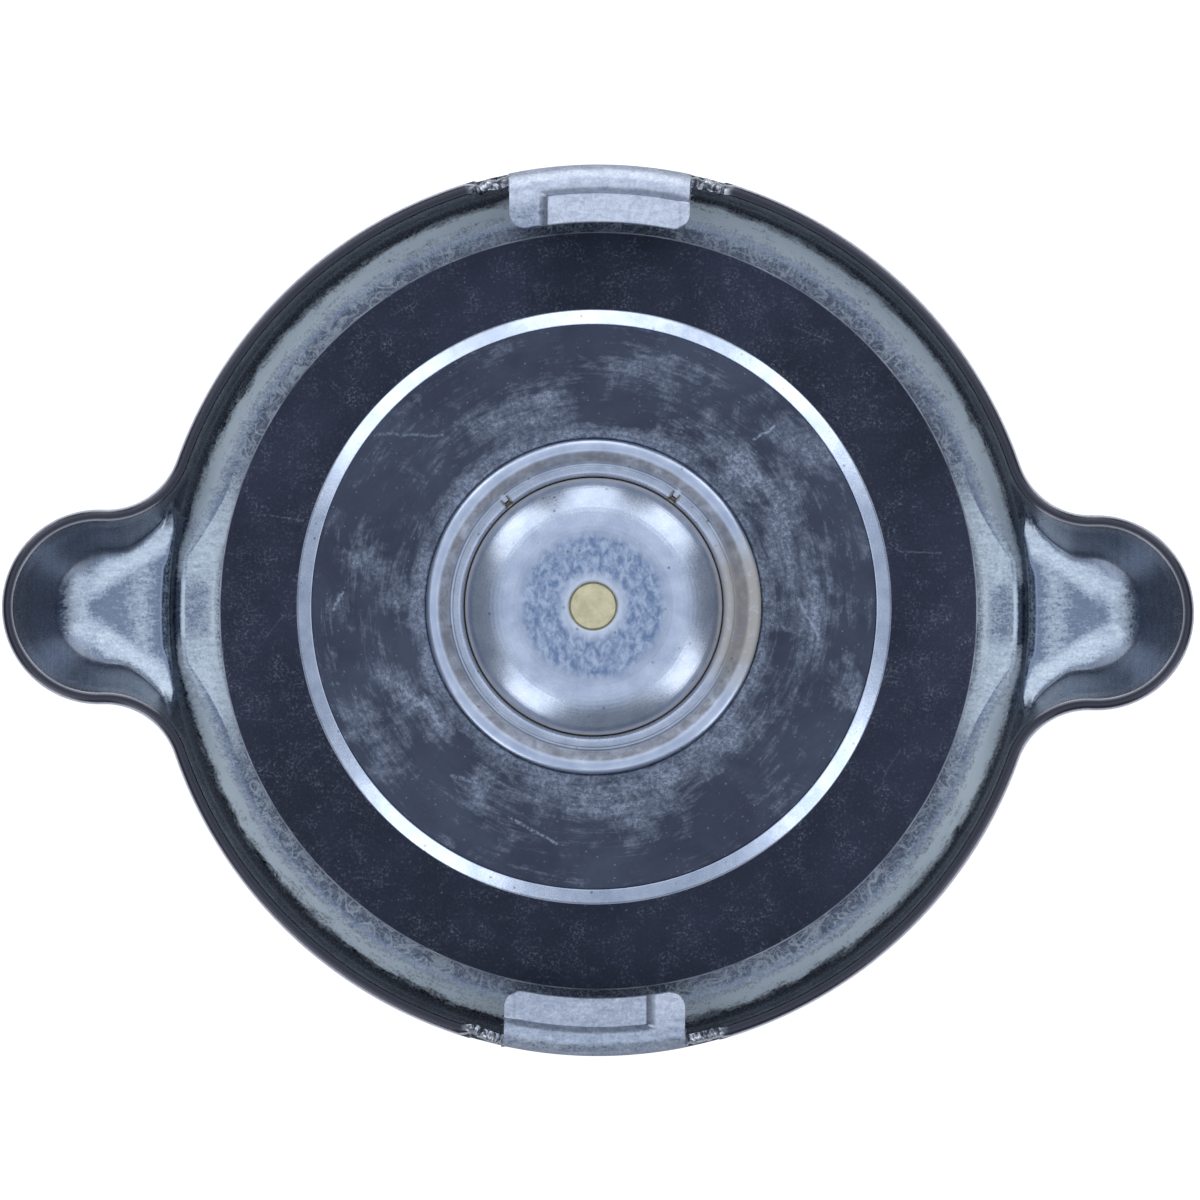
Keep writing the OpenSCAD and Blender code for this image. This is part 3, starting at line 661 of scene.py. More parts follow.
sealLook = {
    "dark": (0.030, 0.038, 0.066), "soft": (0.050, 0.063, 0.102), "smear": (0.30, 0.36, 0.47),
    "rubbedR": (13.9, 12.2), "gloss": 0.22, "bump": 0.015,
    "smears": (
        ((-8.0, 13.2), (-3.5, 14.6), 3.2, 0.8), ((9.3, 11.0), (12.0, 8.2), 2.6, 1.0),
        ((13.5, 12.8), (16.2, 11.0), 2.4, 0.8), ((13.2, 8.0), (15.5, -1.0), 3.4, 0.8),
        ((10.5, -8.0), (3.5, -13.0), 3.8, 1.0), ((3.0, -14.5), (-7.0, -13.2), 3.4, 0.8),
        ((-14.5, -5.5), (-10.8, -8.6), 2.4, 1.0), ((-16.5, 3.5), (-13.8, 0.0), 2.8, 0.7),
        ((18.2, -4.0), (18.6, -6.4), 1.5, 0.9), ((-17.2, -7.5), (-15.0, -11.5), 2.2, 0.6),
        ((2.5, 17.2), (7.5, 16.5), 2.4, 0.5),
    ),
    "scratches": (
        ((11.46, 12.03), (12.94, 13.04), 0.17, 1.0), ((9.5, 10.8), (11.3, 8.6), 0.18, 0.7),
        ((10.9, 11.4), (12.2, 8.9), 0.17, 0.6), ((14.6, 0.7), (16.1, -2.0), 0.18, 0.8),
        ((-14.3, -5.6), (-11.2, -8.0), 0.2, 0.8), ((-12.2, -6.3), (-11.1, -8.5), 0.2, 0.8),
        ((-13.0, -6.4), (-10.6, -9.0), 0.17, 0.6), ((-6.0, -15.2), (-2.5, -17.1), 0.17, 0.7),
        ((-10.2, -12.1), (-8.3, -12.8), 0.2, 0.6), ((-15.6, 12.3), (-11.0, 12.3), 0.17, 0.45),
        ((-18.8, -0.3), (-18.1, 0.9), 0.2, 0.8),
    ),
}


def sealRubberMaterial():
    material, tree, shader = newMaterial("sealRubber")
    coords = mmCoords(tree)
    radius = axisRadius(tree, coords)
    cloud = noiseAt(tree, coords, 0.13, 5.0, 0.62, 0.6)
    grain = noiseAt(tree, coords, 4.2, 4.0, 0.72)
    tone = mixed(tree, span(tree, cloud, 0.35, 0.65), sealLook["dark"], sealLook["soft"])
    # rubbed white film: grains gathered in smears and in faint strokes round the axis
    smears = strokeMarks(tree, coords, sealLook["smears"], 3.0)
    haze = noiseAt(tree, coords, 0.35, 8.0, 0.72, 0.7)
    strokes = noiseAt(tree, ringCoords(tree, coords, 5.0, 2.6), 0.9, 7.0, 0.75, 0.4)
    dense = plus(tree, times(tree, haze, 0.55), times(tree, strokes, 0.45))
    rubbedAndHighlight = span(tree, radius, *sealLook["rubbedR"], 0.0, 0.2)
    dense = plus(tree, dense, most(tree, times(tree, smears, 0.16), rubbedAndHighlight))
    film = times(tree, span(tree, dense, 0.52, 0.72), span(tree, grain, 0.40, 0.62, 0.25, 1.0))
    scratched = scratchMarks(tree, coords, sealLook["scratches"])
    dots = specks(tree, coords, 2.4, 0.2)
    for mark, strength in ((film, 0.85), (scratched, 0.8), (dots, 0.35)):
        tone = mixed(tree, times(tree, mark, strength), tone, sealLook["smear"])
    feed(tree, shader, Base_Color=tone, Roughness=span(tree, grain, 0.3, 0.7, 0.6, 0.8))
    shader.inputs["Specular IOR Level"].default_value = sealLook["gloss"]
    bumped(tree, shader, grain, sealLook["bump"])
    return material


brassLook = {"dark": (0.50, 0.46, 0.29), "pale": (0.66, 0.62, 0.42), "rough": (0.42, 0.58), "bump": 0.05}


def brassMaterial():
    material, tree, shader = newMaterial("stemBrass")
    coords = mmCoords(tree)
    cloud = noiseAt(tree, coords, 1.2, 4.0, 0.6)
    tone = mixed(tree, span(tree, cloud, 0.35, 0.65), brassLook["dark"], brassLook["pale"])
    rough = span(tree, cloud, 0.3, 0.7, *brassLook["rough"])
    feed(tree, shader, Base_Color=tone, Roughness=rough, Metallic=0.55)
    bumped(tree, shader, noiseAt(tree, coords, 1.6, 3.0), brassLook["bump"])
    return material


zincCover = zincMaterial("wornZincCover")
zincPlain = zincMaterial("zincPlated", stamped=False)
brightPlate = brightMaterial("brightPlate", 0.2)
brightRing = brightMaterial("brightRing", 0.3, ((10.4, 11.15, 0.85),), stained=True, shade=0.87)
brightEyelet = brightMaterial("brightEyelet", 0.24, ((9.98, 10.3, 0.6),), stained=True,
                              siltLevel=25.2, shade=0.85)
brightButton = brightMaterial("brightButton", 0.24, ((8.75, 9.3, 0.35),), mottled=True,
                              siltLevel=25.6, shade=0.8)
springSteel = springMaterial()
neckRubber = neckRubberMaterial()
sealRubber = sealRubberMaterial()
stemBrass = brassMaterial()
print("materials ready")


# the cover: one stamping, lofted round its outline
cover = {
    "bodyR": 33.2, "earTip": 44.3, "earR": 7.25, "blendR": 5.5, "sheet": 0.9, "skirt": 9.0, "bend": 2.8,
    "earBend": 1.0, "bendShare": 0.6, "rimRound": 0.5, "holeR": 2.66, "bossR": 8.0, "bossRise": 1.3,
    "panelR": 28.2,
    "earFloor": 3.5, "dishTip": 37.5, "dishR": 10.0, "dishWay": (0.534, 0.846), "dishOval": 0.6,
    "scoopShare": 0.65, "scoopBase": 1.6, "scoopGrowth": 0.16, "scoopBendShare": 0.3, "scoopBendMax": 3.2,
    "browShare": 0.2, "browMax": 1.4, "crookShare": 0.1, "crookMax": 0.65,
    "tabW": 13.4, "tabZ": 9.5, "tabInR": 28.8, "tabThick": 0.8, "tabBend": 1.0, "tabCorner": 1.2, "lead": 2.4,
    "padDrop": 0.45, "reliefW": 2.6, "reliefH": 1.6, "rootH": 2.0,
    "earSteps": 30, "blendSteps": 20, "bodyStep": 1.0, "tearStep": 0.17, "tabGrid": (64, 72),
}


def smooth(x, low, high):
    u = max(0.0, min(1.0, (x - low) / (high - low)))
    return u * u * (3 - 2 * u)


def coverOutline(c):
    # points and outward directions, anticlockwise from the +X ear's tip
    earC = c["earTip"] - c["earR"]
    far, near = c["bodyR"] + c["blendR"], c["earR"] + c["blendR"]
    bx = (far * far - near * near + earC * earC) / (2 * earC)
    by = sqrt(far * far - bx * bx)
    earEnd, bodyStart = atan2(by, bx - earC), atan2(by, bx)
    quarter = []
    for i in range(c["earSteps"] + 1):
        a = earEnd * i / c["earSteps"]
        way = Vector((cos(a), sin(a)))
        quarter.append((Vector((earC + c["earR"] * cos(a), c["earR"] * sin(a))), way))
    for i in range(1, c["blendSteps"] + 1):
        a = earEnd + pi + (bodyStart - earEnd) * i / c["blendSteps"]
        way = Vector((-cos(a), -sin(a)))
        quarter.append((Vector((bx + c["blendR"] * cos(a), by + c["blendR"] * sin(a))), way))
    a = bodyStart
    while a < pi / 2 - 1e-6:
        x = c["bodyR"] * cos(a)
        fine = c["tabW"] / 2 - 0.2 < x < c["tabW"] / 2 + c["reliefW"] + 0.8
        a = min(pi / 2, a + radians(c["tearStep"] if fine else c["bodyStep"]))
        way = Vector((cos(a), sin(a)))
        quarter.append((c["bodyR"] * way, way))

    def flip(points, x, y):
        return [(Vector((p.x * x, p.y * y)), Vector((n.x * x, n.y * y))) for p, n in points]

    left, below = flip(quarter, -1, 1)[::-1][1:], flip(quarter, -1, -1)[1:]
    return quarter + left + below + flip(quarter, 1, -1)[::-1][1:-1]


def arcPoints(cx, cy, r, a0, a1, n):
    angles = [radians(a0 + (a1 - a0) * i / n) for i in range(n + 1)]
    return [(cx + r * cos(a), cy + r * sin(a)) for a in angles]


def cornerArc(a, b, c, r, steps):
    # rounding of the corner b between a and c
    a, b, c = Vector(a), Vector(b), Vector(c)
    u, w = unit(a - b), unit(c - b)
    half = acos(max(-1, min(1, u.dot(w)))) / 2
    centre = b + unit(u + w) * r / sin(half)
    start, end = b + u * r / tan(half) - centre, b + w * r / tan(half) - centre
    a0 = atan2(start.y, start.x)
    sweep = (atan2(end.y, end.x) - a0 + pi) % (2 * pi) - pi
    return arcAround(centre, r, a0, sweep, steps)


def coverSection(c, p, n):
    # points of the section with their (edge, wall, torn, chalk, worn) marks; the wall mark is painted shade,
    # and the edge and chalk marks also carry painted highlights
    t, wallR, e = c["sheet"], c["bodyR"] - c["sheet"], c["rimRound"]
    bulge = max(0.0, p.length - c["bodyR"])
    hair = 0.002
    scoop = max(hair, min(c["scoopShare"] * bulge, c["scoopBase"] + c["scoopGrowth"] * bulge))
    scoopBend = max(hair, min(c["scoopBendMax"], c["scoopBendShare"] * bulge))
    brow = max(hair, min(c["browMax"], c["browShare"] * bulge))
    crook = max(hair, min(c["crookMax"], c["crookShare"] * bulge))
    bend = c["bend"] - min(c["bend"] - c["earBend"], c["bendShare"] * bulge)
    foot = t + bend
    shelf = max(c["earFloor"], foot + brow + hair)
    under = max(c["earFloor"] - t, foot + crook + hair)
    back = scoop * (c["skirt"] - under) / (c["skirt"] - shelf)
    out = (p - n * (t + scoop)).normalized()
    # torn corners of the cuts beside the tabs
    x, tabHalf = abs(p.x), c["tabW"] / 2
    relief = tabHalf + c["reliefW"]
    onBody = bulge < 0.01
    inCut = (1 - smooth(x, relief - 0.15, relief + 0.1)) if onBody else 0.0
    ragged = (1 - smooth(x, relief + 0.1, relief + 0.7)) * smooth(x, tabHalf - 0.3, tabHalf)
    torn = ragged if onBody else 0.0
    jag = noise.fractal(Vector((p.x * 1.3, p.y * 1.3, 3.1)), 0.6, 2.2, 4)
    dent = noise.fractal(Vector((p.x * 1.7, p.y * 1.7, 8.4)), 0.6, 2.2, 4)
    rimZ = c["skirt"] - c["reliefH"] * inCut + 0.3 * torn * jag
    push = torn * (0.24 * dent - 0.12)
    # shares of the ear's form and of its marks, among them the painted highlight in the bend and the painted
    # dark reflection before each ear
    made = smooth(bulge, 0.0, 1.6)
    nearEar = smooth(x, 29.5, 32.5)
    tight = smooth(bulge, 0.1, 1.5)
    lens = smooth(abs(p.y), 4.0, 8.0)
    points = []

    def dish(spot):
        # how far the ear's bowl rises round its flat middle, and how strongly a highlight is painted on its
        # sides there
        u, v = abs(spot.x) - c["dishTip"], abs(spot.y)
        tip = hypot(u, c["dishOval"] * v) if u > 0 else 0.0
        off = max(0.0, c["dishWay"][0] * u + c["dishWay"][1] * v, tip)
        lit = smooth(off, 0.2, 1.5) * (1 - smooth(off, 1.8, 4.2)) * (0.75 if u > 0 else 1.0)
        return off * off / (2 * c["dishR"]), lit

    def put(spot, z, edge=0.0, wall=0.0, tear=0.0, chalkAndHighlight=0.0, worn=0.0):
        points.append((Vector((spot.x, spot.y, z)), (edge, wall, tear, chalkAndHighlight, worn)))

    bossFoot, ringR = c["bossR"] + c["bossRise"], (5.0, 18.0, 26.0)
    for r in (c["holeR"], ringR[0], c["bossR"]):
        put(out * r, t + c["bossRise"])
    for r in (bossFoot, ringR[1], ringR[2], c["panelR"]):
        put(out * r, t)
    # panel beside the gasket: pale near the ears but for a painted dark reflection, lens-shaped, before each
    # ear
    flat = wallR - bend - 0.1 - c["panelR"]
    pales = ((0.3, 0.5), (0.45, 0.2 + 0.25 * lens), (0.8, 0.1 + 0.35 * lens), (1.0, 0.2 + 0.25 * lens))
    for k, pale in pales:
        chalkAndHighlight = (0.1 + pale) * nearEar + 0.02 * k * k * (1 - nearEar)
        put(out * (c["panelR"] + flat * k), t, chalkAndHighlight=chalkAndHighlight, worn=0.8 * nearEar)
    # painted highlight streak in the bend, laid on as chalk, wider towards +X and +Y, and thinned to a
    # painted highlight line before an ear
    tilt = 0.4 * (p.x + p.y) / c["bodyR"]
    share = tight * (1 - 0.7 * lens)
    for i, (r, z) in enumerate(arcPoints(wallR - bend, foot, bend, -90, 0, 14)):
        rubbedAndHighlight = (0.02 + 0.8 * smooth(i, -0.5, 4.8)) * (1 - smooth(i, 4.6 + tilt, 9.6 + tilt))
        line = 0.7 * (1 - smooth(i, 1.0, 3.5))
        besideEar = 0.8 * nearEar * (1 - smooth(i, 5.5, 8.5) * (1 - tight))
        allRound = 0.7 * smooth(i, 0.2, 1.2) * (1 - smooth(i, 1.8, 4.0))
        put(out * r, z, wall=smooth(i, 5.0, 8.5) * (1 - 0.6 * tight),
            chalkAndHighlight=rubbedAndHighlight * (1 - share) + line * share, worn=max(besideEar, allRound))
    # up the wall, over the ear's step and floor, and up its scoop; the wall marks paint shade on the wall,
    # the step and the scoop
    formed = []
    lip = 0.5 * brow
    for i, (r, z) in enumerate(arcPoints(wallR + lip, shelf - lip, lip, 180, 90, 10)):
        wall, chalkAndHighlight = 0.3 * (1 - smooth(i, 1, 8)), 0.25 - 0.15 * smooth(i, 4, 10)
        formed.append((out * r, z + dish(out * r)[0], wall, 1.0, chalkAndHighlight))
    scooped = cornerArc((40, shelf), (t + scoop, shelf), (t, c["skirt"]), scoopBend, 14)
    tipward = 4 * smooth(abs(n.x), 0.3, 0.9)
    floorIn, floorOut = out * (wallR + lip), p - n * scooped[0].x
    for k in range(1, 9):
        spot = floorIn.lerp(floorOut, k / 9)
        rise, lit = dish(spot)
        # a painted highlight on the floor's gentle slope next to the body
        lit = max(lit, 0.55 * smooth(spot.length, 32.8, 34.2) * (1 - smooth(spot.length, 34.4, 36.2)))
        formed.append((spot, shelf + rise, 0.0, 1.0, 0.1 + 0.42 * lit))
    for i, q in enumerate(scooped):
        spot = p - n * q.x
        rise, lit = dish(spot)
        up = smooth(i, 1 + tipward, 10 + tipward)
        z, worn = q.y + rise * (1 - smooth(i, 0, 14)), 1 - 0.1 * smooth(i, 3, 11)
        formed.append((spot, z, 0.75 * up, worn, (0.1 + 0.42 * lit) * (1 - up)))
    for k in (0.25, 0.5, 0.75):
        q = scooped[-1].lerp(Vector((t, c["skirt"])), k)
        formed.append((p - n * q.x, q.y, 0.75, 0.9, 0.0))
    count = len(formed)
    lowZ = c["sheet"] + c["bend"]
    for i, (spot, z, wall, worn, chalkAndHighlight) in enumerate(formed):
        evenZ = lowZ + (rimZ - 0.3 - lowZ) * (i + 1) / (count + 1)
        put((p - n * t).lerp(spot, made), evenZ * (1 - made) + z * made,
            wall=wall * made + 1 - made, chalkAndHighlight=chalkAndHighlight * made, worn=worn * made)
    # over the rim's edge, with painted shade at its inner corner and a painted highlight along its outer
    # rounding
    put(p - n * (t - push * 0.3), rimZ - 0.15, 0, 0.9, torn)
    for q in cornerArc((t, rimZ - 1), (t, rimZ), (0, rimZ), 0.1, 3):
        put(p - n * (q.x - push * 0.6), q.y, 0.5 + 0.22 * made, 0.5, torn)
    put(p - n * (e + 0.04 - push), rimZ, 0.5, 0.3, torn)
    for i, q in enumerate(cornerArc((t, rimZ), (0, rimZ), (0, rimZ - 1), e, 7)):
        put(p - n * (q.x - push), q.y, 0.5 + 0.5 * smooth(i, 2, 5), 0.3 - 0.3 * smooth(i, 0, 3), torn)
    # outside, back down to the flat top of the cap
    formed = []
    for k in (0.25, 0.5, 0.75):
        q = Vector((0, c["skirt"] - e)).lerp(Vector((back, under)), 0.88 * k)
        formed.append((p - n * q.x, q.y))
    for q in cornerArc((0, c["skirt"]), (back, under), (40, under), scoopBend, 8):
        formed.append((p - n * q.x, q.y))
    crookR = c["bodyR"] + 2 * crook
    for r, z in arcPoints(crookR, under - crook, crook, 90, 180, 5):
        formed.append((out * (crookR + 2 * (r - crookR)), z))
    count = len(formed)
    topZ = rimZ - e
    rubbedOff = 0.85
    for i, (spot, z) in enumerate(formed):
        evenZ = topZ + (lowZ - topZ) * (i + 1) / (count + 1)
        put(p.lerp(spot, made), evenZ * (1 - made) + z * made, chalkAndHighlight=0.12, worn=rubbedOff)
    for r, z in arcPoints(wallR - bend, foot, bend + t, 0, -90, 12):
        put(out * r, z, chalkAndHighlight=0.15, worn=rubbedOff)
    for r in (ringR[2], ringR[1], bossFoot):
        put(out * r, 0, chalkAndHighlight=0.12, worn=rubbedOff)
    for r in (c["bossR"], ringR[0], c["holeR"]):
        put(out * r, c["bossRise"], chalkAndHighlight=0.12, worn=rubbedOff)
    return points


def buildCover(c):
    rings = [coverSection(c, p, n) for p, n in coverOutline(c)]
    m, k = len(rings), len(rings[0])
    verts = [q * mm for ring in rings for q, mark in ring]
    marks = [mark for ring in rings for q, mark in ring]
    faces = []
    for i in range(m):
        here, there = i * k, (i + 1) % m * k
        for j in range(k):
            up = (j + 1) % k
            faces.append((here + j, there + j, there + up, here + up))
    for half in (1, -1):
        first = len(verts)
        tabVerts, tabFaces, tabMarks = buildTab(c, half)
        verts += tabVerts
        marks += tabMarks
        faces += [tuple(first + v for v in f) for f in tabFaces]
    obj = meshObject("coverStamping", verts, faces)
    # the colour attribute holds painted shade on the walls and painted highlights on the edges and bends,
    # beside tears and chalk
    obj.data.color_attributes.new("finishAndPaintedLight", "FLOAT_COLOR", "POINT")
    obj.data.attributes.new("wear", "FLOAT", "POINT")
    finishAndPaintedLight, wear = obj.data.attributes["finishAndPaintedLight"], obj.data.attributes["wear"]
    for i, mark in enumerate(marks):
        finishAndPaintedLight.data[i].color = mark[:4]
        wear.data[i].value = mark[4]
    outwardSmooth(obj, 1e-9)  # keeps its close points apart
    obj.data.materials.append(zincCover)
    return obj


def tabEnd(c, x):
    # radius of the tab's inner edge at x, with its rounded corners
    half, r = c["tabW"] / 2, c["tabCorner"]
    side = half - r
    if abs(x) <= side:
        return c["tabInR"]
    cornerY = sqrt(c["tabInR"] ** 2 - side * side) + r
    dx = min(r, abs(x) - side)
    return hypot(x, cornerY - sqrt(max(0.0, r * r - dx * dx)))


def tabPoint(c, x, v):
    # middle of the sheet: v from 0 at the root to 1 at the inner edge
    legR, midZ, bend = c["bodyR"] - c["sheet"] / 2, c["tabZ"] - c["tabThick"] / 2, c["tabBend"]
    rootZ = c["skirt"] - c["reliefH"] - c["rootH"]
    legLen, bendLen = midZ - bend - rootZ, bend * pi / 2
    flatLen = legR - bend - tabEnd(c, x)
    s = v * (legLen + bendLen + flatLen)
    if s < legLen:
        r, z = legR, rootZ + s
    elif s < legLen + bendLen:
        a = (s - legLen) / bend
        r, z = legR - bend + bend * cos(a), midZ - bend + bend * sin(a)
    else:
        r, z = legR - bend - (s - legLen - bendLen), midZ
    # the pad is sunk behind the lead-in, and less so at its far end
    padR, tabHalf = c["bodyR"] - 2 * c["sheet"] + 0.1, c["tabW"] / 2
    padX = c["lead"] - tabHalf
    drop = c["padDrop"] * smooth(-r, -padR - 0.05, -padR + 0.45) * smooth(x, padX - 0.12, padX + 0.22)
    drop *= 1 - 0.4 * smooth(x, tabHalf - 0.9, tabHalf - 0.3)
    return Vector((x, sqrt(r * r - x * x), z - drop))


def tabTone(c, p, half):
    # how pale the tab is: most on its flat, with a duller lead-in on one tab and a paler one on the other
    r = hypot(p.x, p.y)
    flat = smooth(-r, 0.9 - c["bodyR"] + 0.2, 1.5 - c["bodyR"] + 0.5)
    lead = smooth(-p.x, 3.9, 4.5) * smooth(-r, -31.4, -30.0)
    if half > 0:
        return (0.52 + 0.1 * flat) * (1 - 0.5 * lead)
    return 0.34 + 0.1 * flat + 0.14 * lead


def buildTab(c, half):
    # a bent strip with a raised lead-in end, as a closed shell
    across, along = c["tabGrid"]
    w, d = c["tabW"] / 2, 0.002
    least, greatest = -w + 1e-4, w - 1e-4
    xs = [-w + c["tabW"] * (0.5 - 0.5 * cos(pi * i / across)) for i in range(across + 1)]
    xs = [max(least, min(greatest, x)) for x in xs]
    vs = [j / along for j in range(along + 1)]
    grid = []
    for x in xs:
        for v in vs:
            px = tabPoint(c, min(greatest, x + d), v) - tabPoint(c, max(least, x - d), v)
            pv = tabPoint(c, x, min(1, v + d)) - tabPoint(c, x, max(0, v - d))
            grid.append((tabPoint(c, x, v), px.cross(pv).normalized()))
    turn = Matrix.Rotation(0 if half > 0 else pi, 3, "Z")
    verts, faces, marks = [], [], []
    for side in (1, -1):
        for p, normal in grid:
            q = p + normal * side * c["tabThick"] / 2
            verts.append(turn @ (q * mm))
            marks.append((0.0, 0.0, 0.0, tabTone(c, p, half), 1.0))
    n, m = across + 1, along + 1
    for i in range(n - 1):
        for j in range(m - 1):
            a = i * m + j
            faces.append((a, a + m, a + m + 1, a + 1))
            b = n * m + a
            faces.append((b, b + 1, b + m + 1, b + m))
    border = [i * m for i in range(n)] + [(n - 1) * m + j for j in range(1, m)]
    border += [i * m + m - 1 for i in range(n - 2, -1, -1)] + list(range(m - 2, 0, -1))
    for a, b in zip(border, border[1:] + border[:1]):
        faces.append((a, b, n * m + b, n * m + a))
    return verts, faces, marks


def dress(obj, body, node):
    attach(obj, body)
    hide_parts(node)


coverPiece = buildCover(cover)
dress(coverPiece, "cover_body", "cover")
print("cover stamped:", len(coverPiece.data.polygons), "faces")

# rubber
gasket = {"inner": 17.4, "outer": 28.4, "low": 2.55, "high": 4.65, "edge": 0.12}
gasketPiece = turnedPiece("neckGasket", [
    (gasket["inner"], gasket["low"], 0.05), (gasket["outer"], gasket["low"], 0.1),
    (gasket["outer"], gasket["high"], gasket["edge"]), (gasket["inner"], gasket["high"], 0.15)], neckRubber)
dress(gasketPiece, "bell_body", "upper_gasket")

seal = {
    "inner": 9.8, "outer": 20.3, "low": 22.05, "high": 24.65, "clampR": 12.15, "clampZ": 24.3, "edge": 0.12,
}
sealPiece = turnedPiece("pressureSeal", [
    (seal["inner"], seal["low"], 0.05), (seal["outer"], seal["low"], 0.2),
    (seal["outer"], seal["high"], seal["edge"]), (seal["clampR"], seal["high"], 0.12),
    (seal["clampR"], seal["clampZ"], 0.05), (seal["inner"], seal["clampZ"], 0.05)], sealRubber)
dress(sealPiece, "pressure_body", "pressure_seal")

# pressed valve parts
plate = {
    "hole": 9.8, "bed": 21.75, "wall": 20.6, "lip": 23.6, "lipEnd": (21.42, 23.3), "sheet": 0.6, "bend": 0.35,
    "lipBend": -0.2, "edge": 0.2, "segments": 256,
}
plateLine = [
    (plate["hole"], plate["bed"]), (plate["wall"], plate["bed"]), (plate["wall"], plate["lip"]),
    plate["lipEnd"]]
plateSection = bentSheet(plateLine, [plate["bend"], plate["lipBend"]], plate["sheet"], plate["edge"])
platePiece = turnedPiece("valvePlate", plateSection, brightPlate, plate["segments"])
dress(platePiece, "pressure_body", "valve_plate")

retainer = {
    "hole": 9.8, "valley": 10.35, "mid": 24.55, "crest": 11.3, "crestZ": 25.05, "bead": 11.8, "foot": 24.3,
    "sheet": 0.5, "bends": [0.3, 0.3, 0.4], "edge": 0.06, "segments": 224,
}
retainerLine = [
    (retainer["hole"], retainer["mid"]), (retainer["valley"], retainer["mid"]),
    (retainer["crest"], retainer["crestZ"]), (retainer["bead"], retainer["crestZ"]),
    (retainer["bead"], retainer["foot"])]
retainerSection = bentSheet(retainerLine, retainer["bends"], retainer["sheet"], retainer["edge"])
retainerPiece = turnedPiece("sealRetainer", retainerSection, brightRing, retainer["segments"])
dress(retainerPiece, "pressure_body", "seal_retainer")

eyelet = {
    "port": 5.31, "bed": 21.625, "wall": 9.525, "roll": 24.975, "rollR": 10.15, "sheet": 0.35,
    "bends": [0.3, 0.25], "edge": 0.1, "segments": 900,
    "splits": (54, 130), "splitW": 0.4, "splitPull": 0.1, "splitDrop": 0.12,
}


def buildEyelet(c):
    line = [(c["port"], c["bed"]), (c["wall"], c["bed"]), (c["wall"], c["roll"]), (c["rollR"], c["roll"])]
    section = bentSheet(line, c["bends"], c["sheet"], c["edge"])
    obj = turnedPiece("valveEyelet", section, brightEyelet, c["segments"])
    outer = c["wall"] + c["sheet"] / 2
    grime = obj.data.attributes.new("grime", "FLOAT", "POINT")
    for v, spot in zip(obj.data.vertices, grime.data):
        r, a = hypot(v.co.x, v.co.y) / mm, atan2(v.co.y, v.co.x)
        away = min(abs(((a - radians(split) + pi) % (2 * pi)) - pi) * r for split in c["splits"])
        spot.value = 0.0
        if v.co.z / mm < c["roll"] - 0.2 or r < outer - 0.3:  # below or inside the rolled edge
            continue
        spot.value = 1 - smooth(away, c["splitW"] * 0.5, c["splitW"] * 1.2)
        if away < c["splitW"] / 2:
            pulled = min(r, outer - c["splitPull"])
            v.co.x *= pulled / r
            v.co.y *= pulled / r
            v.co.z = min(v.co.z, (c["roll"] - c["splitDrop"]) * mm)
    return obj


dress(buildEyelet(eyelet), "pressure_body", "valve_eyelet")

button = {
    "hole": 1.75, "outer": 9.29, "low": 22.8, "high": 27.2, "sheet": 0.5, "shoulder": (4.0, 2.45),
    "edge": 0.15, "bend": 0.5, "ovalSteps": 18, "segments": 224,
}


def buttonLine(c):
    # middle line of the sheet: flat disc, oval shoulder and skirt
    top, r = c["high"] - c["sheet"] / 2, c["outer"] - c["sheet"] / 2
    wide, tall = c["shoulder"]
    angles = [pi / 2 * k / c["ovalSteps"] for k in range(c["ovalSteps"] + 1)]
    oval = [(r - wide + wide * sin(a), top - tall + tall * cos(a)) for a in angles]
    return [(c["hole"], top)] + oval + [(r, c["low"])]


buttonShape = buttonLine(button)
buttonBends = [button["bend"]] * (len(buttonShape) - 2)
buttonSection = bentSheet(buttonShape, buttonBends, button["sheet"], button["edge"])
buttonPiece = turnedPiece("vacuumButton", buttonSection, brightButton, button["segments"], steps=2)
dress(buttonPiece, "vacuum_body", "vacuum_valve")

stem = {
    "r": 1.65, "headR": 3.65, "headLow": 14.55, "headHigh": 15.45, "collarR": 2.65, "collarLow": 25.9,
    "collarHigh": 26.7, "end": 26.95, "segments": 96,
}
stemPiece = turnedPiece("brassStem", [
    (0, stem["headLow"], 0), (stem["headR"], stem["headLow"], 0.3), (stem["headR"], stem["headHigh"], 0.1),
    (stem["r"], stem["headHigh"], 0.1), (stem["r"], stem["collarLow"], 0.05),
    (stem["collarR"], stem["collarLow"], 0.1), (stem["collarR"], stem["collarHigh"], 0.05),
    (stem["r"], stem["collarHigh"], 0.03), (stem["r"], stem["end"], 0.1), (0, stem["end"], 0)],
    stemBrass, stem["segments"], closed=False)
dress(stemPiece, "vacuum_body", "vacuum_stem")
print("valve pieces turned")

# springs
pressureSpring = {
    "turns": 4.25, "lowRadius": 14.55, "highRadius": 14.55, "wire": 1.7, "low": 3.15, "high": 15.4,
    "travel": 4.0,
}
pressureCoil = coilPiece("pressureCoil", pressureSpring, springSteel)
dress(pressureCoil, "bell_body", "pressure_spring")
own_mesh(pressureCoil)
vacuumSpring = {
    "turns": 4.0, "lowRadius": 3.05, "highRadius": 5.91, "wire": 0.6, "low": 15.45, "high": 20.85,
    "travel": 1.6,
}
vacuumCoil = coilPiece("vacuumCoil", vacuumSpring, springSteel)
dress(vacuumCoil, "pressure_body", "vacuum_spring")
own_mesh(vacuumCoil)
print("springs wound")

# solids that keep their own mesh
plainSolids = {
    "bell": zincPlain, "guide_cup": zincPlain, "diaphragm_spring": springSteel, "center_rivet": brightPlate,
    "vacuum_seal": neckRubber,
}
for name, material in plainSolids.items():
    nodes[name].data.materials.clear()
    nodes[name].data.materials.append(material)


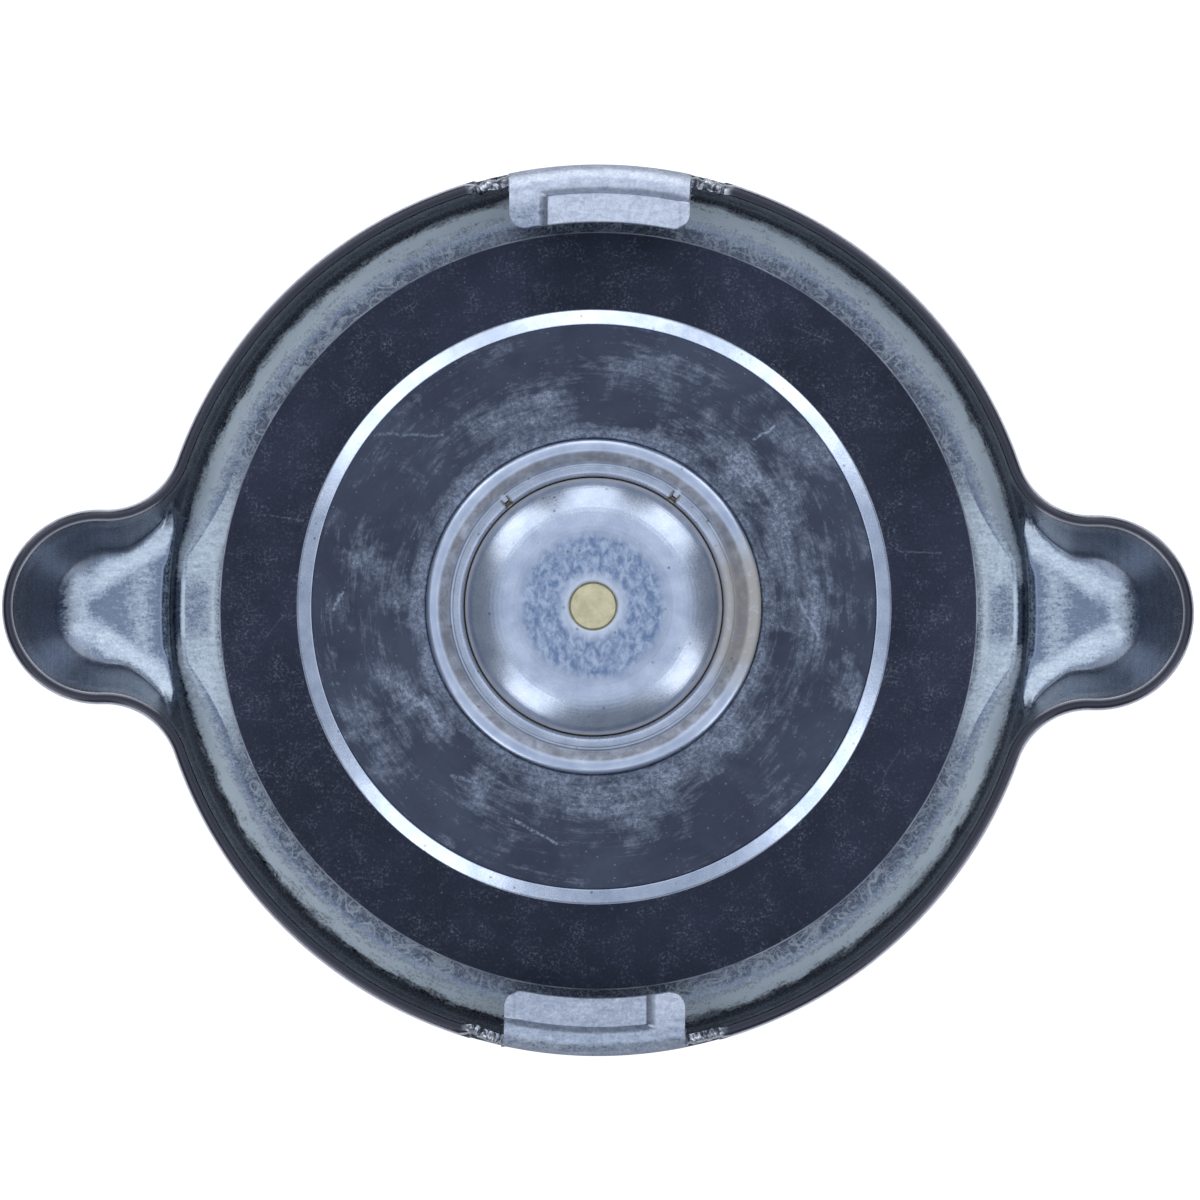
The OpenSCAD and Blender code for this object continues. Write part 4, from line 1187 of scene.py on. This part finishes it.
# studio: pale floor, five soft boxes as (azimuth, level), and a plain sky that is white behind the object
studio = {
    "boxes": ((48, 1.7), (92, 1.6), (135, 1.7), (-36, 1.6), (-127, 1.7)), "boxWide": 0.30, "boxTall": 0.62,
    "boxAway": 0.66, "boxHigh": 27, "horizon": (0.27, 0.29, 0.33), "sky": (0.93, 0.99, 1.12),
    "overhead": (0.26, 0.29, 0.34), "skyRise": (0.66, 0.90), "overheadRise": (0.985, 0.996),
    "floorHalf": 3.0, "floorTone": (0.48, 0.48, 0.49), "floorGlow": 0.85,
}


def buildFloor():
    size = studio["floorHalf"]
    corners = [(-size, -size, 0), (size, -size, 0), (size, size, 0), (-size, size, 0)]
    obj = meshObject("studioFloor", corners, [(0, 1, 2, 3)])
    material, tree, shader = newMaterial("paleFloor")
    feed(tree, shader, Base_Color=(*studio["floorTone"], 1), Roughness=0.9)
    shader.inputs["Specular IOR Level"].default_value = 0.0
    glow = addNode(tree, "ShaderNodeEmission")
    seen = addNode(tree, "ShaderNodeLightPath").outputs["Is Camera Ray"]
    feed(tree, glow, Strength=times(tree, seen, studio["floorGlow"]))
    both = addNode(tree, "ShaderNodeAddShader")
    feed(tree, both, i0=shader.outputs[0], i1=glow.outputs[0])
    tree.links.new(both.outputs[0], tree.nodes["Material Output"].inputs["Surface"])
    obj.data.materials.append(material)


def buildSky():
    world = bpy.data.worlds.new("studioSky")
    bpy.context.scene.world = world
    world.use_nodes = True
    tree = world.node_tree
    back = tree.nodes["Background"]
    height = axisParts(tree, addNode(tree, "ShaderNodeTexCoord").outputs["Generated"])[2]
    dome = mixed(tree, span(tree, height, *studio["skyRise"]), studio["horizon"], studio["sky"])
    dome = mixed(tree, span(tree, height, *studio["overheadRise"]), dome, studio["overhead"])
    seen = addNode(tree, "ShaderNodeLightPath").outputs["Is Camera Ray"]
    feed(tree, back, Color=mixed(tree, seen, dome, (1, 1, 1)), Strength=1.0)


def buildLamps():
    for azimuth, level in studio["boxes"]:
        lamp = bpy.data.lights.new("softBox", "AREA")
        lamp.shape = "RECTANGLE"
        lamp.size = studio["boxWide"]
        lamp.size_y = studio["boxTall"]
        lamp.energy = level * pi * lamp.size * lamp.size_y
        obj = bpy.data.objects.new("softBox", lamp)
        bpy.context.collection.objects.link(obj)
        a, e = radians(azimuth), radians(studio["boxHigh"])
        obj.location = studio["boxAway"] * Vector((cos(a) * cos(e), sin(a) * cos(e), sin(e)))
        obj.rotation_euler = (-obj.location).to_track_quat("-Z", "Y").to_euler()


shot = {
    "distance": 0.520, "focal": 210.2, "sensor": 36, "nearClip": 0.01, "aim": (0.00021, 0.00072, 0.009),
    "lean": (0.9, -0.9), "roll": 0.35,
}


def buildCamera():
    camera = bpy.data.cameras.new("photoCamera")
    camera.sensor_width = shot["sensor"]
    camera.lens = shot["focal"]
    camera.clip_start = shot["nearClip"]
    obj = bpy.data.objects.new("photoCamera", camera)
    bpy.context.collection.objects.link(obj)
    aim = Vector(shot["aim"])
    zAxis = Vector((*[tan(radians(lean)) for lean in shot["lean"]], 1)).normalized()
    up = Matrix.Rotation(radians(shot["roll"]), 3, "Z") @ Vector((0, 1, 0))
    xAxis = up.cross(zAxis).normalized()
    yAxis = zAxis.cross(xAxis)
    turn = Matrix((xAxis, yAxis, zAxis)).transposed().to_4x4()
    obj.matrix_world = Matrix.Translation(aim + zAxis * shot["distance"]) @ turn
    bpy.context.scene.camera = obj


buildFloor()
buildSky()
buildLamps()
buildCamera()
bpy.context.scene.view_settings.view_transform = "Standard"
print("studio set")
